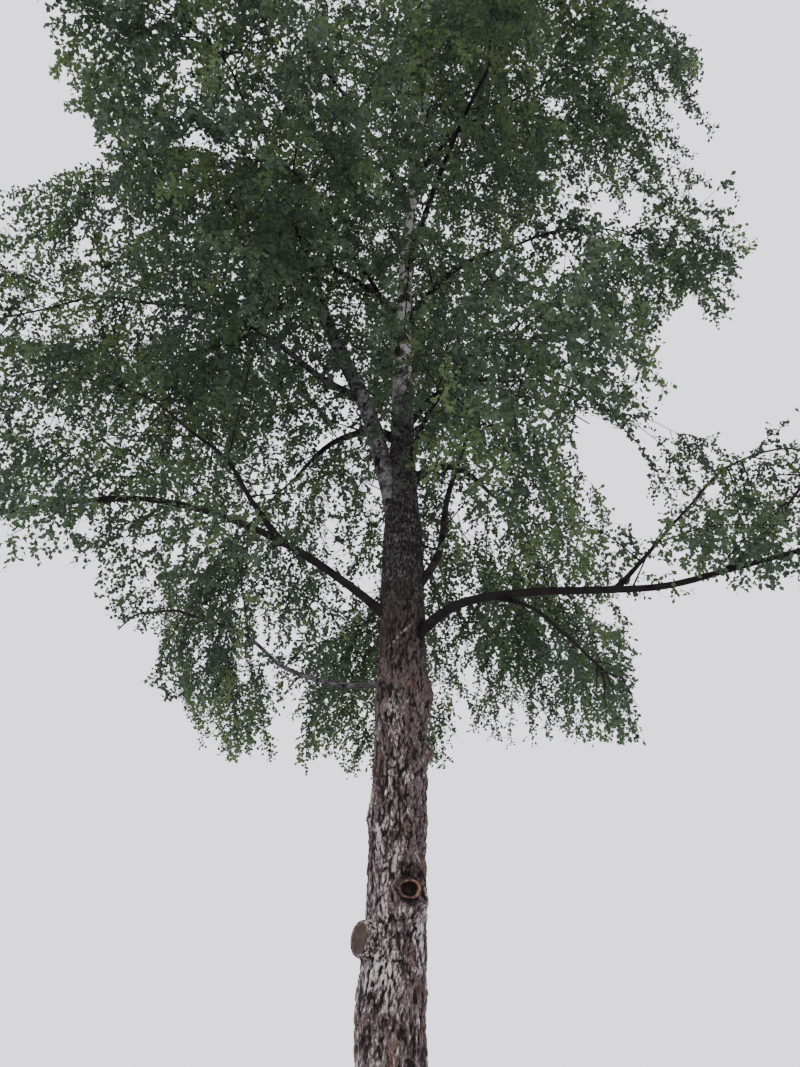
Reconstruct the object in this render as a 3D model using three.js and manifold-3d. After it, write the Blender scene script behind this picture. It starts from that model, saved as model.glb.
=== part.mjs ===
// A mature silver birch, built the way the tree grows: one trunk, tapering boughs, and masses of leafy twigs.
// Millimetres, +Z up, origin on the ground at the middle of the trunk's foot, +X to the right, and +Y away from
// the side on which the trunk shows its hollow knot.
import * as THREE from "three";
import { mergeVertices } from "three/addons/utils/BufferGeometryUtils.js";
import Module from "manifold-3d";

const wasm = await Module();
wasm.setup();

// Driving dimensions
const TRUNK_TOP = 17800;
const BREAST_RADIUS = 252;
const GAP = 0.3;
const UP = new THREE.Vector3(0, 0, 1);

// The trunk: [height, radius] down its taper, a flare of buttresses at the foot, and a lean that grows upwards
const TRUNK_SIDES = 12;
const TRUNK_TAPER = [
  [0, 292],
  [500, 268],
  [1400, BREAST_RADIUS],
  [2400, 226],
  [3600, 219],
  [4200, 226],
  [4600, 206],
  [5700, 188],
  [6500, 136],
  [8600, 86],
  [12000, 62],
  [15500, 36],
  [TRUNK_TOP, 15],
];
const RINGS_BETWEEN = [200, 800, 1900, 3000, 5300, 7500, 10300, 13800];
const FLARE = { reach: 110, fade: 260, buttresses: 5, depth: 0.45 };
const LEAN = { low: 120, lowBy: 4500, high: 1100, highFrom: 7500 };
const SWAY = { reach: 30, wave: 5200 };

// Old pruning scars: a sawn stub on the left, and a healed, hollow knot that faces the front
const STUB = { height: 2250, heading: 214, rise: 5, length: 305, radius: 115, swell: 1.25 };
const KNOT = { height: 2620, heading: 290, rise: -8, length: 285, radius: 76, swell: 1.3, hollow: 44, depth: 70 };
const SCAR_SIDES = 8;

// Boughs: on is what carries the bough, at the distance up it, heading its compass in degrees from +X, rise its
// slopes in degrees from root to tip, evenly spaced, and girth its radius at the root. leaves gives the mass at
// the bough's tip: its stem's reach, how far its twigs spread, and through how many degrees the stem droops.
const BOUGHS = {
  left_low: { on: "trunk", at: 4740, heading: 187, rise: [40, 28, 18, 1, -18], length: 3900, girth: 44,
    leaves: { reach: 1700, spread: 1400, droop: 30 } },
  left_fork: { on: "left_low", at: 1380, heading: 178, rise: [56, 58, 40], length: 1750, girth: 31,
    leaves: { reach: 2600, spread: 1600, droop: 60 } },
  left_small: { on: "trunk", at: 4220, heading: 174, rise: [2, 8, 42, 36, 26], length: 2100, girth: 27,
    leaves: { reach: 800, spread: 750, droop: 60 } },
  right_low: { on: "trunk", at: 4560, heading: 346, rise: [36, 6, -6, -3, 6, 8], length: 3550, girth: 46,
    leaves: { reach: 2100, spread: 1400, droop: 26 } },
  right_drop: { on: "right_low", at: 980, heading: 12, rise: [-14, -38, -46], length: 950, girth: 20,
    leaves: { reach: 350, spread: 450, droop: -30 } },
  right_inner: { on: "right_low", at: 1980, heading: 352, rise: [46, 44, 44], length: 1150, girth: 22,
    leaves: { reach: 1400, spread: 1000, droop: 60 } },
  right_outer: { on: "right_low", at: 2900, heading: 348, rise: [40, 46, 46], length: 1350, girth: 25,
    leaves: { reach: 1700, spread: 1250, droop: 50 } },
  right_steep: { on: "trunk", at: 4950, heading: 4, rise: [60, 76, 84, 72], length: 2000, girth: 46,
    leaves: { reach: 1900, spread: 1250, droop: 120 } },
  second_stem: { on: "trunk", at: 5700, heading: 181, rise: [78, 78, 70, 72, 62, 52, 42], length: 5200,
    girth: 108, leaves: { reach: 2200, spread: 1600, droop: 44 } },
  stem_left: { on: "second_stem", at: 1780, heading: 184, rise: [34, 46, 36, 20, 5], length: 2900, girth: 42,
    leaves: { reach: 2500, spread: 1700, droop: 46 } },
  stem_front: { on: "second_stem", at: 2900, heading: 246, rise: [48, 40, 24], length: 1700, girth: 36,
    leaves: { reach: 2300, spread: 1500, droop: 64 } },
  stem_back: { on: "second_stem", at: 3500, heading: 128, rise: [50, 44, 26], length: 1700, girth: 38,
    leaves: { reach: 2800, spread: 1700, droop: 64 } },
  back_right: { on: "trunk", at: 6250, heading: 56, rise: [52, 34, 0], length: 2400, girth: 54,
    leaves: { reach: 2900, spread: 1700, droop: 80 } },
  back_middle: { on: "trunk", at: 5950, heading: 92, rise: [52, 34, 2], length: 2300, girth: 50,
    leaves: { reach: 3000, spread: 1700, droop: 84 } },
  back_left: { on: "trunk", at: 6900, heading: 126, rise: [44, 26, -2], length: 2600, girth: 54,
    leaves: { reach: 3200, spread: 1800, droop: 78 } },
  front_right: { on: "trunk", at: 6300, heading: 304, rise: [62, 48, 16], length: 1200, girth: 36,
    leaves: { reach: 1700, spread: 1250, droop: 96 } },
  front_left: { on: "trunk", at: 7900, heading: 236, rise: [66, 50, 18], length: 1400, girth: 38,
    leaves: { reach: 2300, spread: 1500, droop: 88 } },
  right_middle: { on: "trunk", at: 7050, heading: 18, rise: [58, 44, 14], length: 1800, girth: 50,
    leaves: { reach: 1900, spread: 1300, droop: 72 } },
  right_high: { on: "trunk", at: 8500, heading: 350, rise: [60, 46, 20], length: 1900, girth: 50,
    leaves: { reach: 2100, spread: 1500, droop: 74 } },
};

// Limbs above those follow one rule: they climb the leader in a spiral, and get shorter towards the top. The
// lower ones are boughs, and the upper ones are so short that their mass grows straight from the leader.
const UPPER = {
  boughs: 6,
  shoots: 6,
  from: 8700,
  to: 16300,
  heading: 165,
  turn: 137.5,
  shrink: 2.1,
  rise: [56, 46, 26],
  steeper: 14,
  lengths: [2700, 900],
  girths: [42, 16],
  reaches: [2700, 1800],
  spreads: [1650, 1300],
  droops: [68, 46],
};
const CROWN_TOP = { reach: 1000, spread: 1200, droop: 24 };

// How a limb is drawn
const LIMB_SIDES = 6;
const LIMB_STEP = 600;
const LIMB_TIP = 0.45;
const LIMB_WANDER = 3;
const COLLAR = { swell: 0.38, fade: 170 };

// How a mass of leaves branches: a drooping stem, and twigs opened out from it that weep
const STEM = { sides: 3, steps: 4, tip: 0.38, leastGirth: 26, shareOfBough: 0.9, wander: 9 };
const TWIG = { sides: 3, steps: 2, tip: 0.6, shareOfStem: 0.42, weep: 0.85, shortest: 0.55, longestAt: 0.4 };
const TWIG_PLACES = { count: 14, stride: 5, first: 0.1, last: 0.92, most: 7 };
const TWIG_ANGLE = { atRoot: 62, atTip: 40, roll: 137.5, rollWander: 34 };
const LENGTH_WANDER = 0.12;

// A spray of leaves, as one thin blade that hangs from its twig
const SPRAY = { least: 450, ofSpread: 0.42, width: 0.6, thick: 0.034, widestAt: 0.42, spacing: 640 };
const SPRAY_POSE = { splay: 46, hang: 0.3, hangMore: 0.4, lengthWander: 0.15, rootAt: 0.97 };

// The clearances of a mass's own space
const SPACE_CLEAR = 45;
const LIMB_CLEAR = 75;

const TRUNK_BARK = { color: 0x6a5d54, roughness: 0.95, metalness: 0 };
const BOUGH_BARK = { color: 0x3a322d, roughness: 0.9, metalness: 0 };
const LEAF_GREEN = { color: 0x43602c, roughness: 0.6, metalness: 0 };

const radians = THREE.MathUtils.degToRad;
const mix = THREE.MathUtils.lerp;

// The same small generator gives the same tree on every run.
function seededDraws(seed) {
  let state = 7919 + seed * 104729;
  return () => {
    state = (state * 16807) % 2147483647;
    return state / 2147483647;
  };
}

function tableValue(table, position) {
  const next = table.findIndex((row) => row[0] >= position);
  if (next <= 0) return table.at(next)[1];
  const [low, high] = [table[next - 1], table[next]];
  return mix(low[1], high[1], (position - low[0]) / (high[0] - low[0]));
}

function compass(heading, slope) {
  const flat = Math.cos(radians(slope));
  const [east, north] = [Math.cos(radians(heading)), Math.sin(radians(heading))];
  return new THREE.Vector3(flat * east, flat * north, Math.sin(radians(slope)));
}

// A level direction at right angles to another, which may be upright
function levelSide(direction) {
  const side = new THREE.Vector3().crossVectors(direction, UP);
  return side.length() < 0.001 ? side.set(1, 0, 0) : side.normalize();
}

// A path is a list of points, and a place on it is a share of its steps.
function pointOn(path, share) {
  const place = share * (path.length - 1);
  const step = Math.min(Math.floor(place), path.length - 2);
  return path[step].clone().lerp(path[step + 1], place - step);
}

function directionOn(path, share) {
  const step = Math.min(Math.floor(share * (path.length - 1)), path.length - 2);
  return path[step + 1].clone().sub(path[step]).normalize();
}

function nearestOn(path, point) {
  const line = new THREE.Line3();
  const foot = new THREE.Vector3();
  let best = { away: Infinity, share: 0 };
  for (let i = 0; i + 1 < path.length; i++) {
    const along = line.set(path[i], path[i + 1]).closestPointToPointParameter(point, true);
    const away = line.at(along, foot).distanceTo(point);
    if (away < best.away) best = { away, share: (i + along) / (path.length - 1) };
  }
  return best;
}

function slopeAt(rise, share) {
  const place = share * (rise.length - 1);
  const step = Math.min(Math.floor(place), rise.length - 2);
  return mix(rise[step], rise[step + 1], place - step);
}

// A limb's line: it keeps its heading, its slope runs through the values of rise, and every step but the first
// wanders a little.
function limbPath(from, heading, rise, length, steps, wander, draw) {
  const path = [from.clone()];
  for (let i = 0; i < steps; i++) {
    const stray = () => (i ? wander * (2 * draw() - 1) : 0);
    const ahead = compass(heading + stray(), slopeAt(rise, i / (steps - 1)) + stray());
    path.push(path[i].clone().addScaledVector(ahead, length / steps));
  }
  return path;
}

// A twig's line: it starts along a direction and bends down under its own weight.
function weepingPath(from, direction, length) {
  const path = [from.clone()];
  const ahead = direction.clone();
  for (let i = 0; i < TWIG.steps; i++) {
    ahead.addScaledVector(UP, -TWIG.weep / TWIG.steps).normalize();
    path.push(path[i].clone().addScaledVector(ahead, length / TWIG.steps));
  }
  return path;
}

// Joins rings of points, each with the same count, into one closed skin with flat ends.
function skinRings(rings) {
  const sides = rings[0].length;
  const index = [];
  for (let ring = 0; ring + 1 < rings.length; ring++) {
    for (let k = 0; k < sides; k++) {
      const a = ring * sides + k;
      const b = ring * sides + ((k + 1) % sides);
      index.push(a, b, b + sides, a, b + sides, a + sides);
    }
  }
  const last = (rings.length - 1) * sides;
  for (let k = 1; k + 1 < sides; k++) {
    index.push(0, k + 1, k, last, last + k, last + k + 1);
  }
  const geometry = new THREE.BufferGeometry();
  const positions = rings.flat().flatMap((point) => point.toArray());
  geometry.setAttribute("position", new THREE.Float32BufferAttribute(positions, 3));
  geometry.setIndex(index);
  return geometry;
}

// A round limb along a path, with each section's frame carried on from the one before it
function taperedTube(path, radiusAt, sides) {
  let side = Math.abs(directionOn(path, 0).z) > 0.9 ? new THREE.Vector3(1, 0, 0) : UP.clone();
  const rings = path.map((point, i) => {
    const ahead = path[Math.min(i + 1, path.length - 1)].clone().sub(path[Math.max(i - 1, 0)]).normalize();
    side = side.clone().addScaledVector(ahead, -side.dot(ahead)).normalize();
    const across = new THREE.Vector3().crossVectors(ahead, side);
    const radius = radiusAt(i / (path.length - 1));
    return Array.from({ length: sides }, (_, k) => {
      const turn = (2 * Math.PI * k) / sides;
      const spoke = point.clone().addScaledVector(side, radius * Math.cos(turn));
      return spoke.addScaledVector(across, radius * Math.sin(turn));
    });
  });
  return skinRings(rings);
}

function solidOf(geometry) {
  const plain = geometry.clone();
  plain.deleteAttribute("normal");
  plain.deleteAttribute("uv");
  const merged = mergeVertices(plain);
  const vertProperties = merged.attributes.position.array;
  const triVerts = new Uint32Array(merged.index.array);
  return new wasm.Manifold(new wasm.Mesh({ numProp: 3, vertProperties, triVerts }));
}

function geometryOf(solid) {
  const { vertProperties, triVerts } = solid.getMesh();
  const geometry = new THREE.BufferGeometry();
  geometry.setAttribute("position", new THREE.BufferAttribute(vertProperties, 3));
  geometry.setIndex(new THREE.BufferAttribute(triVerts, 1));
  geometry.computeVertexNormals();
  return geometry;
}

// A cut can leave a scrap on the far side of what it cuts with.
function largestPiece(solid) {
  return solid.decompose().sort((a, b) => b.volume() - a.volume())[0];
}

// Trunk

function trunkCentre(height) {
  const low = LEAN.low * Math.min(height / LEAN.lowBy, 1);
  const above = Math.max(height - LEAN.highFrom, 0) / (TRUNK_TOP - LEAN.highFrom);
  const sway = SWAY.reach * Math.sin((2 * Math.PI * height) / SWAY.wave);
  return new THREE.Vector3(low + LEAN.high * above * above, sway, height);
}

function trunkRadius(height, turn) {
  const buttress = 1 - FLARE.depth * (0.5 - 0.5 * Math.cos(FLARE.buttresses * turn));
  return tableValue(TRUNK_TAPER, height) + FLARE.reach * Math.exp(-height / FLARE.fade) * buttress;
}

function trunkHeights() {
  return [...TRUNK_TAPER.map((row) => row[0]), ...RINGS_BETWEEN].sort((a, b) => a - b);
}

// grown makes the trunk a little thicker, to cut what meets it.
function trunkTube(grown) {
  const rings = trunkHeights().map((height) =>
    Array.from({ length: TRUNK_SIDES }, (_, k) => {
      const turn = (2 * Math.PI * k) / TRUNK_SIDES;
      const radius = trunkRadius(height, turn) + grown;
      return trunkCentre(height).add(new THREE.Vector3(radius * Math.cos(turn), radius * Math.sin(turn), 0));
    }),
  );
  return solidOf(skinRings(rings));
}

// A short stub that points out of the trunk
function scarTube({ height, heading, rise }, from, to, rootRadius, tipRadius) {
  const ahead = compass(heading, rise);
  const ends = [from, to].map((along) => trunkCentre(height).addScaledVector(ahead, along));
  return solidOf(taperedTube(ends, (share) => mix(rootRadius, tipRadius, share), SCAR_SIDES));
}

function makeTrunk() {
  const stub = scarTube(STUB, 0, STUB.length, STUB.radius * STUB.swell, STUB.radius);
  const knot = scarTube(KNOT, 0, KNOT.length, KNOT.radius * KNOT.swell, KNOT.radius);
  const hollow = scarTube(KNOT, KNOT.length - KNOT.depth, 2 * KNOT.length, KNOT.hollow, KNOT.hollow);
  return trunkTube(0).add(stub).add(knot).subtract(hollow);
}

// Boughs

function upperLimbs() {
  const count = UPPER.boughs + UPPER.shoots;
  return Array.from({ length: count }, (_, i) => {
    const share = i / (count - 1);
    const shrunk = share ** UPPER.shrink;
    return {
      on: "trunk",
      at: mix(UPPER.from, UPPER.to, share),
      heading: (UPPER.heading + UPPER.turn * i) % 360,
      rise: UPPER.rise.map((slope) => slope + UPPER.steeper * share),
      length: mix(...UPPER.lengths, shrunk),
      girth: mix(...UPPER.girths, shrunk),
      leaves: {
        reach: mix(...UPPER.reaches, shrunk),
        spread: mix(...UPPER.spreads, shrunk),
        droop: mix(...UPPER.droops, shrunk),
      },
    };
  });
}

function allBoughs() {
  const upper = upperLimbs().slice(0, UPPER.boughs);
  return { ...BOUGHS, ...Object.fromEntries(upper.map((bough, i) => ["upper_" + (i + 1), bough])) };
}

function boughRadius(bough, share) {
  const swell = 1 + COLLAR.swell * Math.exp((-share * bough.length) / COLLAR.fade);
  return bough.girth * mix(1, LIMB_TIP, share) * swell;
}

// Every limb's path, from the middle of what carries it, and its radius at each share of that path
function layOutLimbs() {
  const trunkPath = trunkHeights().map(trunkCentre);
  const limbs = { trunk: { path: trunkPath, radiusAt: (share) => trunkRadius(pointOn(trunkPath, share).z, 0) } };
  Object.entries(allBoughs()).forEach(([name, bough], i) => {
    const carrier = limbs[bough.on];
    const from = bough.on === "trunk" ? trunkCentre(bough.at) : pointOn(carrier.path, bough.at / carrier.length);
    const steps = Math.max(3, Math.round(bough.length / LIMB_STEP));
    const path = limbPath(from, bough.heading, bough.rise, bough.length, steps, LIMB_WANDER, seededDraws(i + 200));
    limbs[name] = { ...bough, path, radiusAt: (share) => boughRadius(bough, share) };
  });
  return limbs;
}

function limbTube(limb, grown) {
  return solidOf(taperedTube(limb.path, (share) => limb.radiusAt(share) + grown, LIMB_SIDES));
}

function makeBough(limbs, name) {
  const limb = limbs[name];
  const carrier = limb.on === "trunk" ? trunkTube(GAP) : limbTube(limbs[limb.on], GAP);
  return largestPiece(limbTube(limb, 0).subtract(carrier));
}

// Masses of leaves

// A mass's stem goes on the way that its bough ends, and droops.
function stemPath(from, ahead, leaves, seed) {
  const slope = THREE.MathUtils.radToDeg(Math.asin(ahead.z));
  const heading = THREE.MathUtils.radToDeg(Math.atan2(ahead.y, ahead.x));
  const rise = [slope, slope - leaves.droop / 2, slope - leaves.droop];
  return limbPath(from, heading, rise, leaves.reach, STEM.steps, STEM.wander, seededDraws(seed + 300));
}

function layOutMasses(limbs) {
  const masses = {};
  const addMass = (name, leaves, girth, from, ahead) => {
    const seed = Object.keys(masses).length + 1;
    const stem = stemPath(from, ahead, leaves, seed);
    masses[name] = { ...leaves, seed, stem, girth: Math.max(girth, STEM.leastGirth) };
  };
  for (const [name, bough] of Object.entries(allBoughs())) {
    const { path, radiusAt } = limbs[name];
    const ahead = directionOn(path, 1);
    const from = path.at(-1).clone().addScaledVector(ahead, GAP);
    addMass(name, bough.leaves, radiusAt(1) * STEM.shareOfBough, from, ahead);
  }
  upperLimbs().slice(UPPER.boughs).forEach((shoot, i) => {
    const ahead = compass(shoot.heading, shoot.rise[0]);
    addMass("shoot_" + (i + 1), shoot.leaves, shoot.girth, trunkCentre(shoot.at), ahead);
  });
  const top = trunkCentre(TRUNK_TOP).addScaledVector(UP, GAP);
  addMass("crown_top", CROWN_TOP, STEM.leastGirth, top, UP);
  return masses;
}

// A mass's own space is what lies nearer to its stem than to any other mass's stem.
function isInSpace(point, name, masses) {
  const own = nearestOn(masses[name].stem, point).away;
  const others = Object.entries(masses).filter(([other]) => other !== name);
  return others.every(([, mass]) => nearestOn(mass.stem, point).away > own + SPACE_CLEAR);
}

function touchesLimb(point, limbs) {
  return Object.values(limbs).some((limb) => {
    const { away, share } = nearestOn(limb.path, point);
    return away < limb.radiusAt(share) + LIMB_CLEAR;
  });
}

function fits(points, name, masses, limbs) {
  return points.every((point) => isInSpace(point, name, masses) && !touchesLimb(point, limbs));
}

// Where side twigs may start, and which way: round the stem by the golden angle, opened out from it. The places
// are visited in strides, so that the first twigs that fit are spread along the whole stem.
function sideTwigs(mass) {
  const draw = seededDraws(mass.seed);
  return Array.from({ length: TWIG_PLACES.count }, (_, i) => {
    const order = ((i * TWIG_PLACES.stride) % TWIG_PLACES.count) / (TWIG_PLACES.count - 1);
    const share = mix(TWIG_PLACES.first, TWIG_PLACES.last, order);
    const ahead = directionOn(mass.stem, share);
    const roll = radians(i * TWIG_ANGLE.roll + (2 * draw() - 1) * TWIG_ANGLE.rollWander);
    const open = radians(mix(TWIG_ANGLE.atRoot, TWIG_ANGLE.atTip, order));
    const outward = levelSide(ahead).applyAxisAngle(ahead, roll);
    const direction = ahead.multiplyScalar(Math.cos(open)).addScaledVector(outward, Math.sin(open));
    const taper = mix(1, TWIG.shortest, Math.abs(order - TWIG.longestAt) / (1 - TWIG.longestAt));
    const length = mass.spread * taper * (1 + LENGTH_WANDER * (2 * draw() - 1));
    return { from: pointOn(mass.stem, share), direction, length, share };
  });
}

// The sprays of one twig, evenly spaced to its tip, splayed to alternate sides and hanging
function spraysOn(path, pathLength, spread, draw) {
  const count = Math.max(1, Math.round(pathLength / SPRAY.spacing));
  return Array.from({ length: count }, (_, k) => {
    const share = (k + 1) / count;
    const along = directionOn(path, share);
    const side = levelSide(along);
    const splay = share < 1 ? Math.tan(radians(SPRAY_POSE.splay)) * (k % 2 ? 1 : -1) : 0;
    const hang = SPRAY_POSE.hang + SPRAY_POSE.hangMore * draw();
    const ahead = along.addScaledVector(side, splay).addScaledVector(UP, -hang).normalize();
    const across = levelSide(ahead).applyAxisAngle(ahead, Math.PI * (draw() - 0.5));
    const wander = 1 + SPRAY_POSE.lengthWander * (2 * draw() - 1);
    const length = (SPRAY.least + SPRAY.ofSpread * spread) * wander;
    return { root: pointOn(path, Math.min(share, SPRAY_POSE.rootAt)), ahead, across, length };
  });
}

// A spray's blade has the outline of a kite: an octahedron with its widest place moved towards the root.
function sprayBlade({ root, ahead, across, length }) {
  const blade = new THREE.OctahedronGeometry(1, 0);
  const corners = blade.attributes.position;
  for (let i = 0; i < corners.count; i++) {
    const x = Math.round(corners.getX(i));
    corners.setX(i, x ? (x + 1) / 2 : SPRAY.widestAt);
  }
  blade.scale(length, (length * SPRAY.width) / 2, (length * SPRAY.thick) / 2);
  const normal = new THREE.Vector3().crossVectors(ahead, across);
  blade.applyMatrix4(new THREE.Matrix4().makeBasis(ahead, across, normal).setPosition(root));
  return blade;
}

// Points over a blade's outline, to test where it lies
function outlineOf({ root, ahead, across, length }) {
  const places = [];
  for (const along of [0.2, SPRAY.widestAt, 0.7, 1]) {
    const half = (SPRAY.width / 2) * Math.min(along / SPRAY.widestAt, (1 - along) / (1 - SPRAY.widestAt));
    for (const side of [-1, 0, 1]) {
      const middle = root.clone().addScaledVector(ahead, along * length);
      places.push(middle.addScaledVector(across, side * half * length));
    }
  }
  return places;
}

// One mass: its stem, the twigs that carry at least one spray that fits, and those sprays
function makeMass(name, masses, limbs) {
  const mass = masses[name];
  const draw = seededDraws(mass.seed + 500);
  const stemRadius = (share) => mass.girth * mix(1, STEM.tip, share);
  const wood = [solidOf(taperedTube(mass.stem, stemRadius, STEM.sides))];
  const blades = [];
  const addSprays = (path, pathLength) => {
    const before = blades.length;
    for (const spray of spraysOn(path, pathLength, mass.spread, draw)) {
      if (!fits(outlineOf(spray), name, masses, limbs)) continue;
      const blade = solidOf(sprayBlade(spray));
      if (blades.every((other) => other.intersect(blade).isEmpty())) blades.push(blade);
    }
    return blades.length > before;
  };
  addSprays(mass.stem.slice(-2), 2 * SPRAY.spacing);
  for (const twig of sideTwigs(mass)) {
    const path = weepingPath(twig.from, twig.direction, twig.length);
    const isFull = wood.length > TWIG_PLACES.most;
    if (isFull || !fits(path.slice(1), name, masses, limbs) || !addSprays(path, twig.length)) continue;
    const girth = stemRadius(twig.share) * TWIG.shareOfStem;
    wood.push(solidOf(taperedTube(path, (share) => girth * mix(1, TWIG.tip, share), TWIG.sides)));
  }
  return largestPiece(wasm.Manifold.union([...wood, ...blades]).subtract(trunkTube(GAP)));
}

function addNode(group, name, solid, finish) {
  const mesh = new THREE.Mesh(geometryOf(solid), new THREE.MeshStandardMaterial(finish));
  mesh.name = name;
  group.add(mesh);
}

function growTree() {
  const tree = new THREE.Group();
  const limbs = layOutLimbs();
  const masses = layOutMasses(limbs);
  addNode(tree, "trunk", makeTrunk(), TRUNK_BARK);
  for (const name of Object.keys(allBoughs())) {
    addNode(tree, "bough_" + name, makeBough(limbs, name), BOUGH_BARK);
  }
  for (const name of Object.keys(masses)) {
    addNode(tree, "leaves_" + name, makeMass(name, masses, limbs), LEAF_GREEN);
  }
  return tree;
}

export default growTree();
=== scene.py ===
import functools
import math

import bpy
import numpy as np
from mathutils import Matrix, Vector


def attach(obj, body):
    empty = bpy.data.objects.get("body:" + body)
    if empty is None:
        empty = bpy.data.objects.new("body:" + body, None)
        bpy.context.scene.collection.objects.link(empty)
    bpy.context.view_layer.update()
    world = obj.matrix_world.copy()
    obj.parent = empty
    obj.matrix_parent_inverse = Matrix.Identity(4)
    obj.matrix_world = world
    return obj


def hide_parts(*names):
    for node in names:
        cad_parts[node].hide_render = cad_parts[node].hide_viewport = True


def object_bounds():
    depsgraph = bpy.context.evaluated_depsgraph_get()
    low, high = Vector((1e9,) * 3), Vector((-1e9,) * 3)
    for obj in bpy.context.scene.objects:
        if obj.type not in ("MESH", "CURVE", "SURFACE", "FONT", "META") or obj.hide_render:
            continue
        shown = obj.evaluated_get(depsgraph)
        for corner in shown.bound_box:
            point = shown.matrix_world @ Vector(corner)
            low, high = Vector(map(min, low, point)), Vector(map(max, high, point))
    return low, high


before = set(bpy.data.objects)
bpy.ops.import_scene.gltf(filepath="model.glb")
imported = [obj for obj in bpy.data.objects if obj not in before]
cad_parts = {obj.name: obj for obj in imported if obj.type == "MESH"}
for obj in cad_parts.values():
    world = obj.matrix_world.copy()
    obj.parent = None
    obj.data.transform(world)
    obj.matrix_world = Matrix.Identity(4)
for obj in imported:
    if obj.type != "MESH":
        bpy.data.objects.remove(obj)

bl_info = {
    "name": "Silver Birch",
    "version": (1, 0, 0),
    "blender": (4, 5, 0),
    "location": "3D View > Sidebar > Birch",
    "description": "Grows the bark, boughs, twigs and leaves of one silver birch over its solid model",
    "category": "Add Mesh",
}

CAD_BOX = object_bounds()
UP = np.array([0.0, 0.0, 1.0])
STEEP = 0.9

# The trunk, as the source has it, in metres: [height, radius], its flare, its lean and its sway
TRUNK_TOP = 17.8
TRUNK_TAPER = [
    (0, 0.292), (0.5, 0.268), (1.4, 0.252), (2.4, 0.226), (3.6, 0.219), (4.2, 0.226), (4.6, 0.206),
    (5.7, 0.188), (6.5, 0.136), (8.6, 0.086), (12.0, 0.062), (15.5, 0.036), (TRUNK_TOP, 0.015),
]
TRUNK_FLARE = {"reach": 0.11, "fade": 0.26, "buttresses": 5, "depth": 0.45}
LEAN = {"low": 0.12, "low_by": 4.5, "high": 1.1, "high_from": 7.5}
SWAY = {"reach": 0.03, "wave": 5.2}
TRUNK_HEIGHTS = sorted([row[0] for row in TRUNK_TAPER] + [0.2, 0.8, 1.9, 3.0, 5.3, 7.5, 10.3, 13.8])
STUB = {"height": 2.25, "heading": 214, "rise": 5, "tall": 1.0, "columns": 72, "wobble": 0.012}
KNOT = {"height": 2.62, "heading": 290, "rise": -8, "tall": 0.76, "columns": 64, "wobble": 0.032}

# The boughs: what carries it, the distance up that, its compass in degrees, its slopes from root to tip, its
# length and its girth at the root, and then the reach, spread and droop of the mass of leaves at its tip
BOUGHS = {
    "left_low": ("trunk", 4.74, 187, [40, 28, 18, 1, -18], 3.9, 0.044, (1.7, 1.4, 30)),
    "left_fork": ("left_low", 1.38, 178, [56, 58, 40], 1.75, 0.031, (2.6, 1.6, 60)),
    "left_small": ("trunk", 4.22, 174, [2, 8, 42, 36, 26], 2.1, 0.027, (0.8, 0.75, 60)),
    "right_low": ("trunk", 4.56, 346, [36, 6, -6, -3, 6, 8], 3.55, 0.046, (2.1, 1.4, 26)),
    "right_drop": ("right_low", 0.98, 12, [-14, -38, -46], 0.95, 0.020, (0.35, 0.45, -30)),
    "right_inner": ("right_low", 1.98, 352, [46, 44, 44], 1.15, 0.022, (1.4, 1.0, 60)),
    "right_outer": ("right_low", 2.9, 348, [40, 46, 46], 1.35, 0.025, (1.7, 1.25, 50)),
    "right_steep": ("trunk", 4.95, 4, [60, 76, 84, 72], 2.0, 0.046, (1.9, 1.25, 120)),
    "second_stem": ("trunk", 5.7, 181, [78, 78, 70, 72, 62, 52, 42], 5.2, 0.108, (2.2, 1.6, 44)),
    "stem_left": ("second_stem", 1.78, 184, [34, 46, 36, 20, 5], 2.9, 0.042, (2.5, 1.7, 46)),
    "stem_front": ("second_stem", 2.9, 246, [48, 40, 24], 1.7, 0.036, (2.3, 1.5, 64)),
    "stem_back": ("second_stem", 3.5, 128, [50, 44, 26], 1.7, 0.038, (2.8, 1.7, 64)),
    "back_right": ("trunk", 6.25, 56, [52, 34, 0], 2.4, 0.054, (2.9, 1.7, 80)),
    "back_middle": ("trunk", 5.95, 92, [52, 34, 2], 2.3, 0.05, (3.0, 1.7, 84)),
    "back_left": ("trunk", 6.9, 126, [44, 26, -2], 2.6, 0.054, (3.2, 1.8, 78)),
    "front_right": ("trunk", 6.3, 304, [62, 48, 16], 1.2, 0.036, (1.7, 1.25, 96)),
    "front_left": ("trunk", 7.9, 236, [66, 50, 18], 1.4, 0.038, (2.3, 1.5, 88)),
    "right_middle": ("trunk", 7.05, 18, [58, 44, 14], 1.8, 0.05, (1.9, 1.3, 72)),
    "right_high": ("trunk", 8.5, 350, [60, 46, 20], 1.9, 0.05, (2.1, 1.5, 74)),
}
UPPER = {
    "boughs": 6, "shoots": 6, "from": 8.7, "to": 16.3, "heading": 165, "turn": 137.5, "shrink": 2.1,
    "rise": [56, 46, 26], "steeper": 14, "lengths": (2.7, 0.9), "girths": (0.042, 0.016),
    "reaches": (2.7, 1.8), "spreads": (1.65, 1.3), "droops": (68, 46),
}
CROWN_TOP = (1.0, 1.2, 24)
LIMB = {"step": 0.6, "tip": 0.45, "wander": 3, "swell": 0.38, "fade": 0.17}
STEM = {"steps": 4, "tip": 0.38, "least_girth": 0.026, "share_of_bough": 0.9, "wander": 9}
TWIG = {"steps": 2, "weep": 0.85, "shortest": 0.55, "longest_at": 0.4, "length_wander": 0.12}
TWIG_PLACES = {"count": 14, "stride": 5, "first": 0.1, "last": 0.92}
TWIG_ANGLE = {"at_root": 62, "at_tip": 40, "roll": 137.5, "roll_wander": 34}
SPRAY = {"least": 0.45, "of_spread": 0.42, "widest_at": 0.42, "spacing": 0.64}
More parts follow.
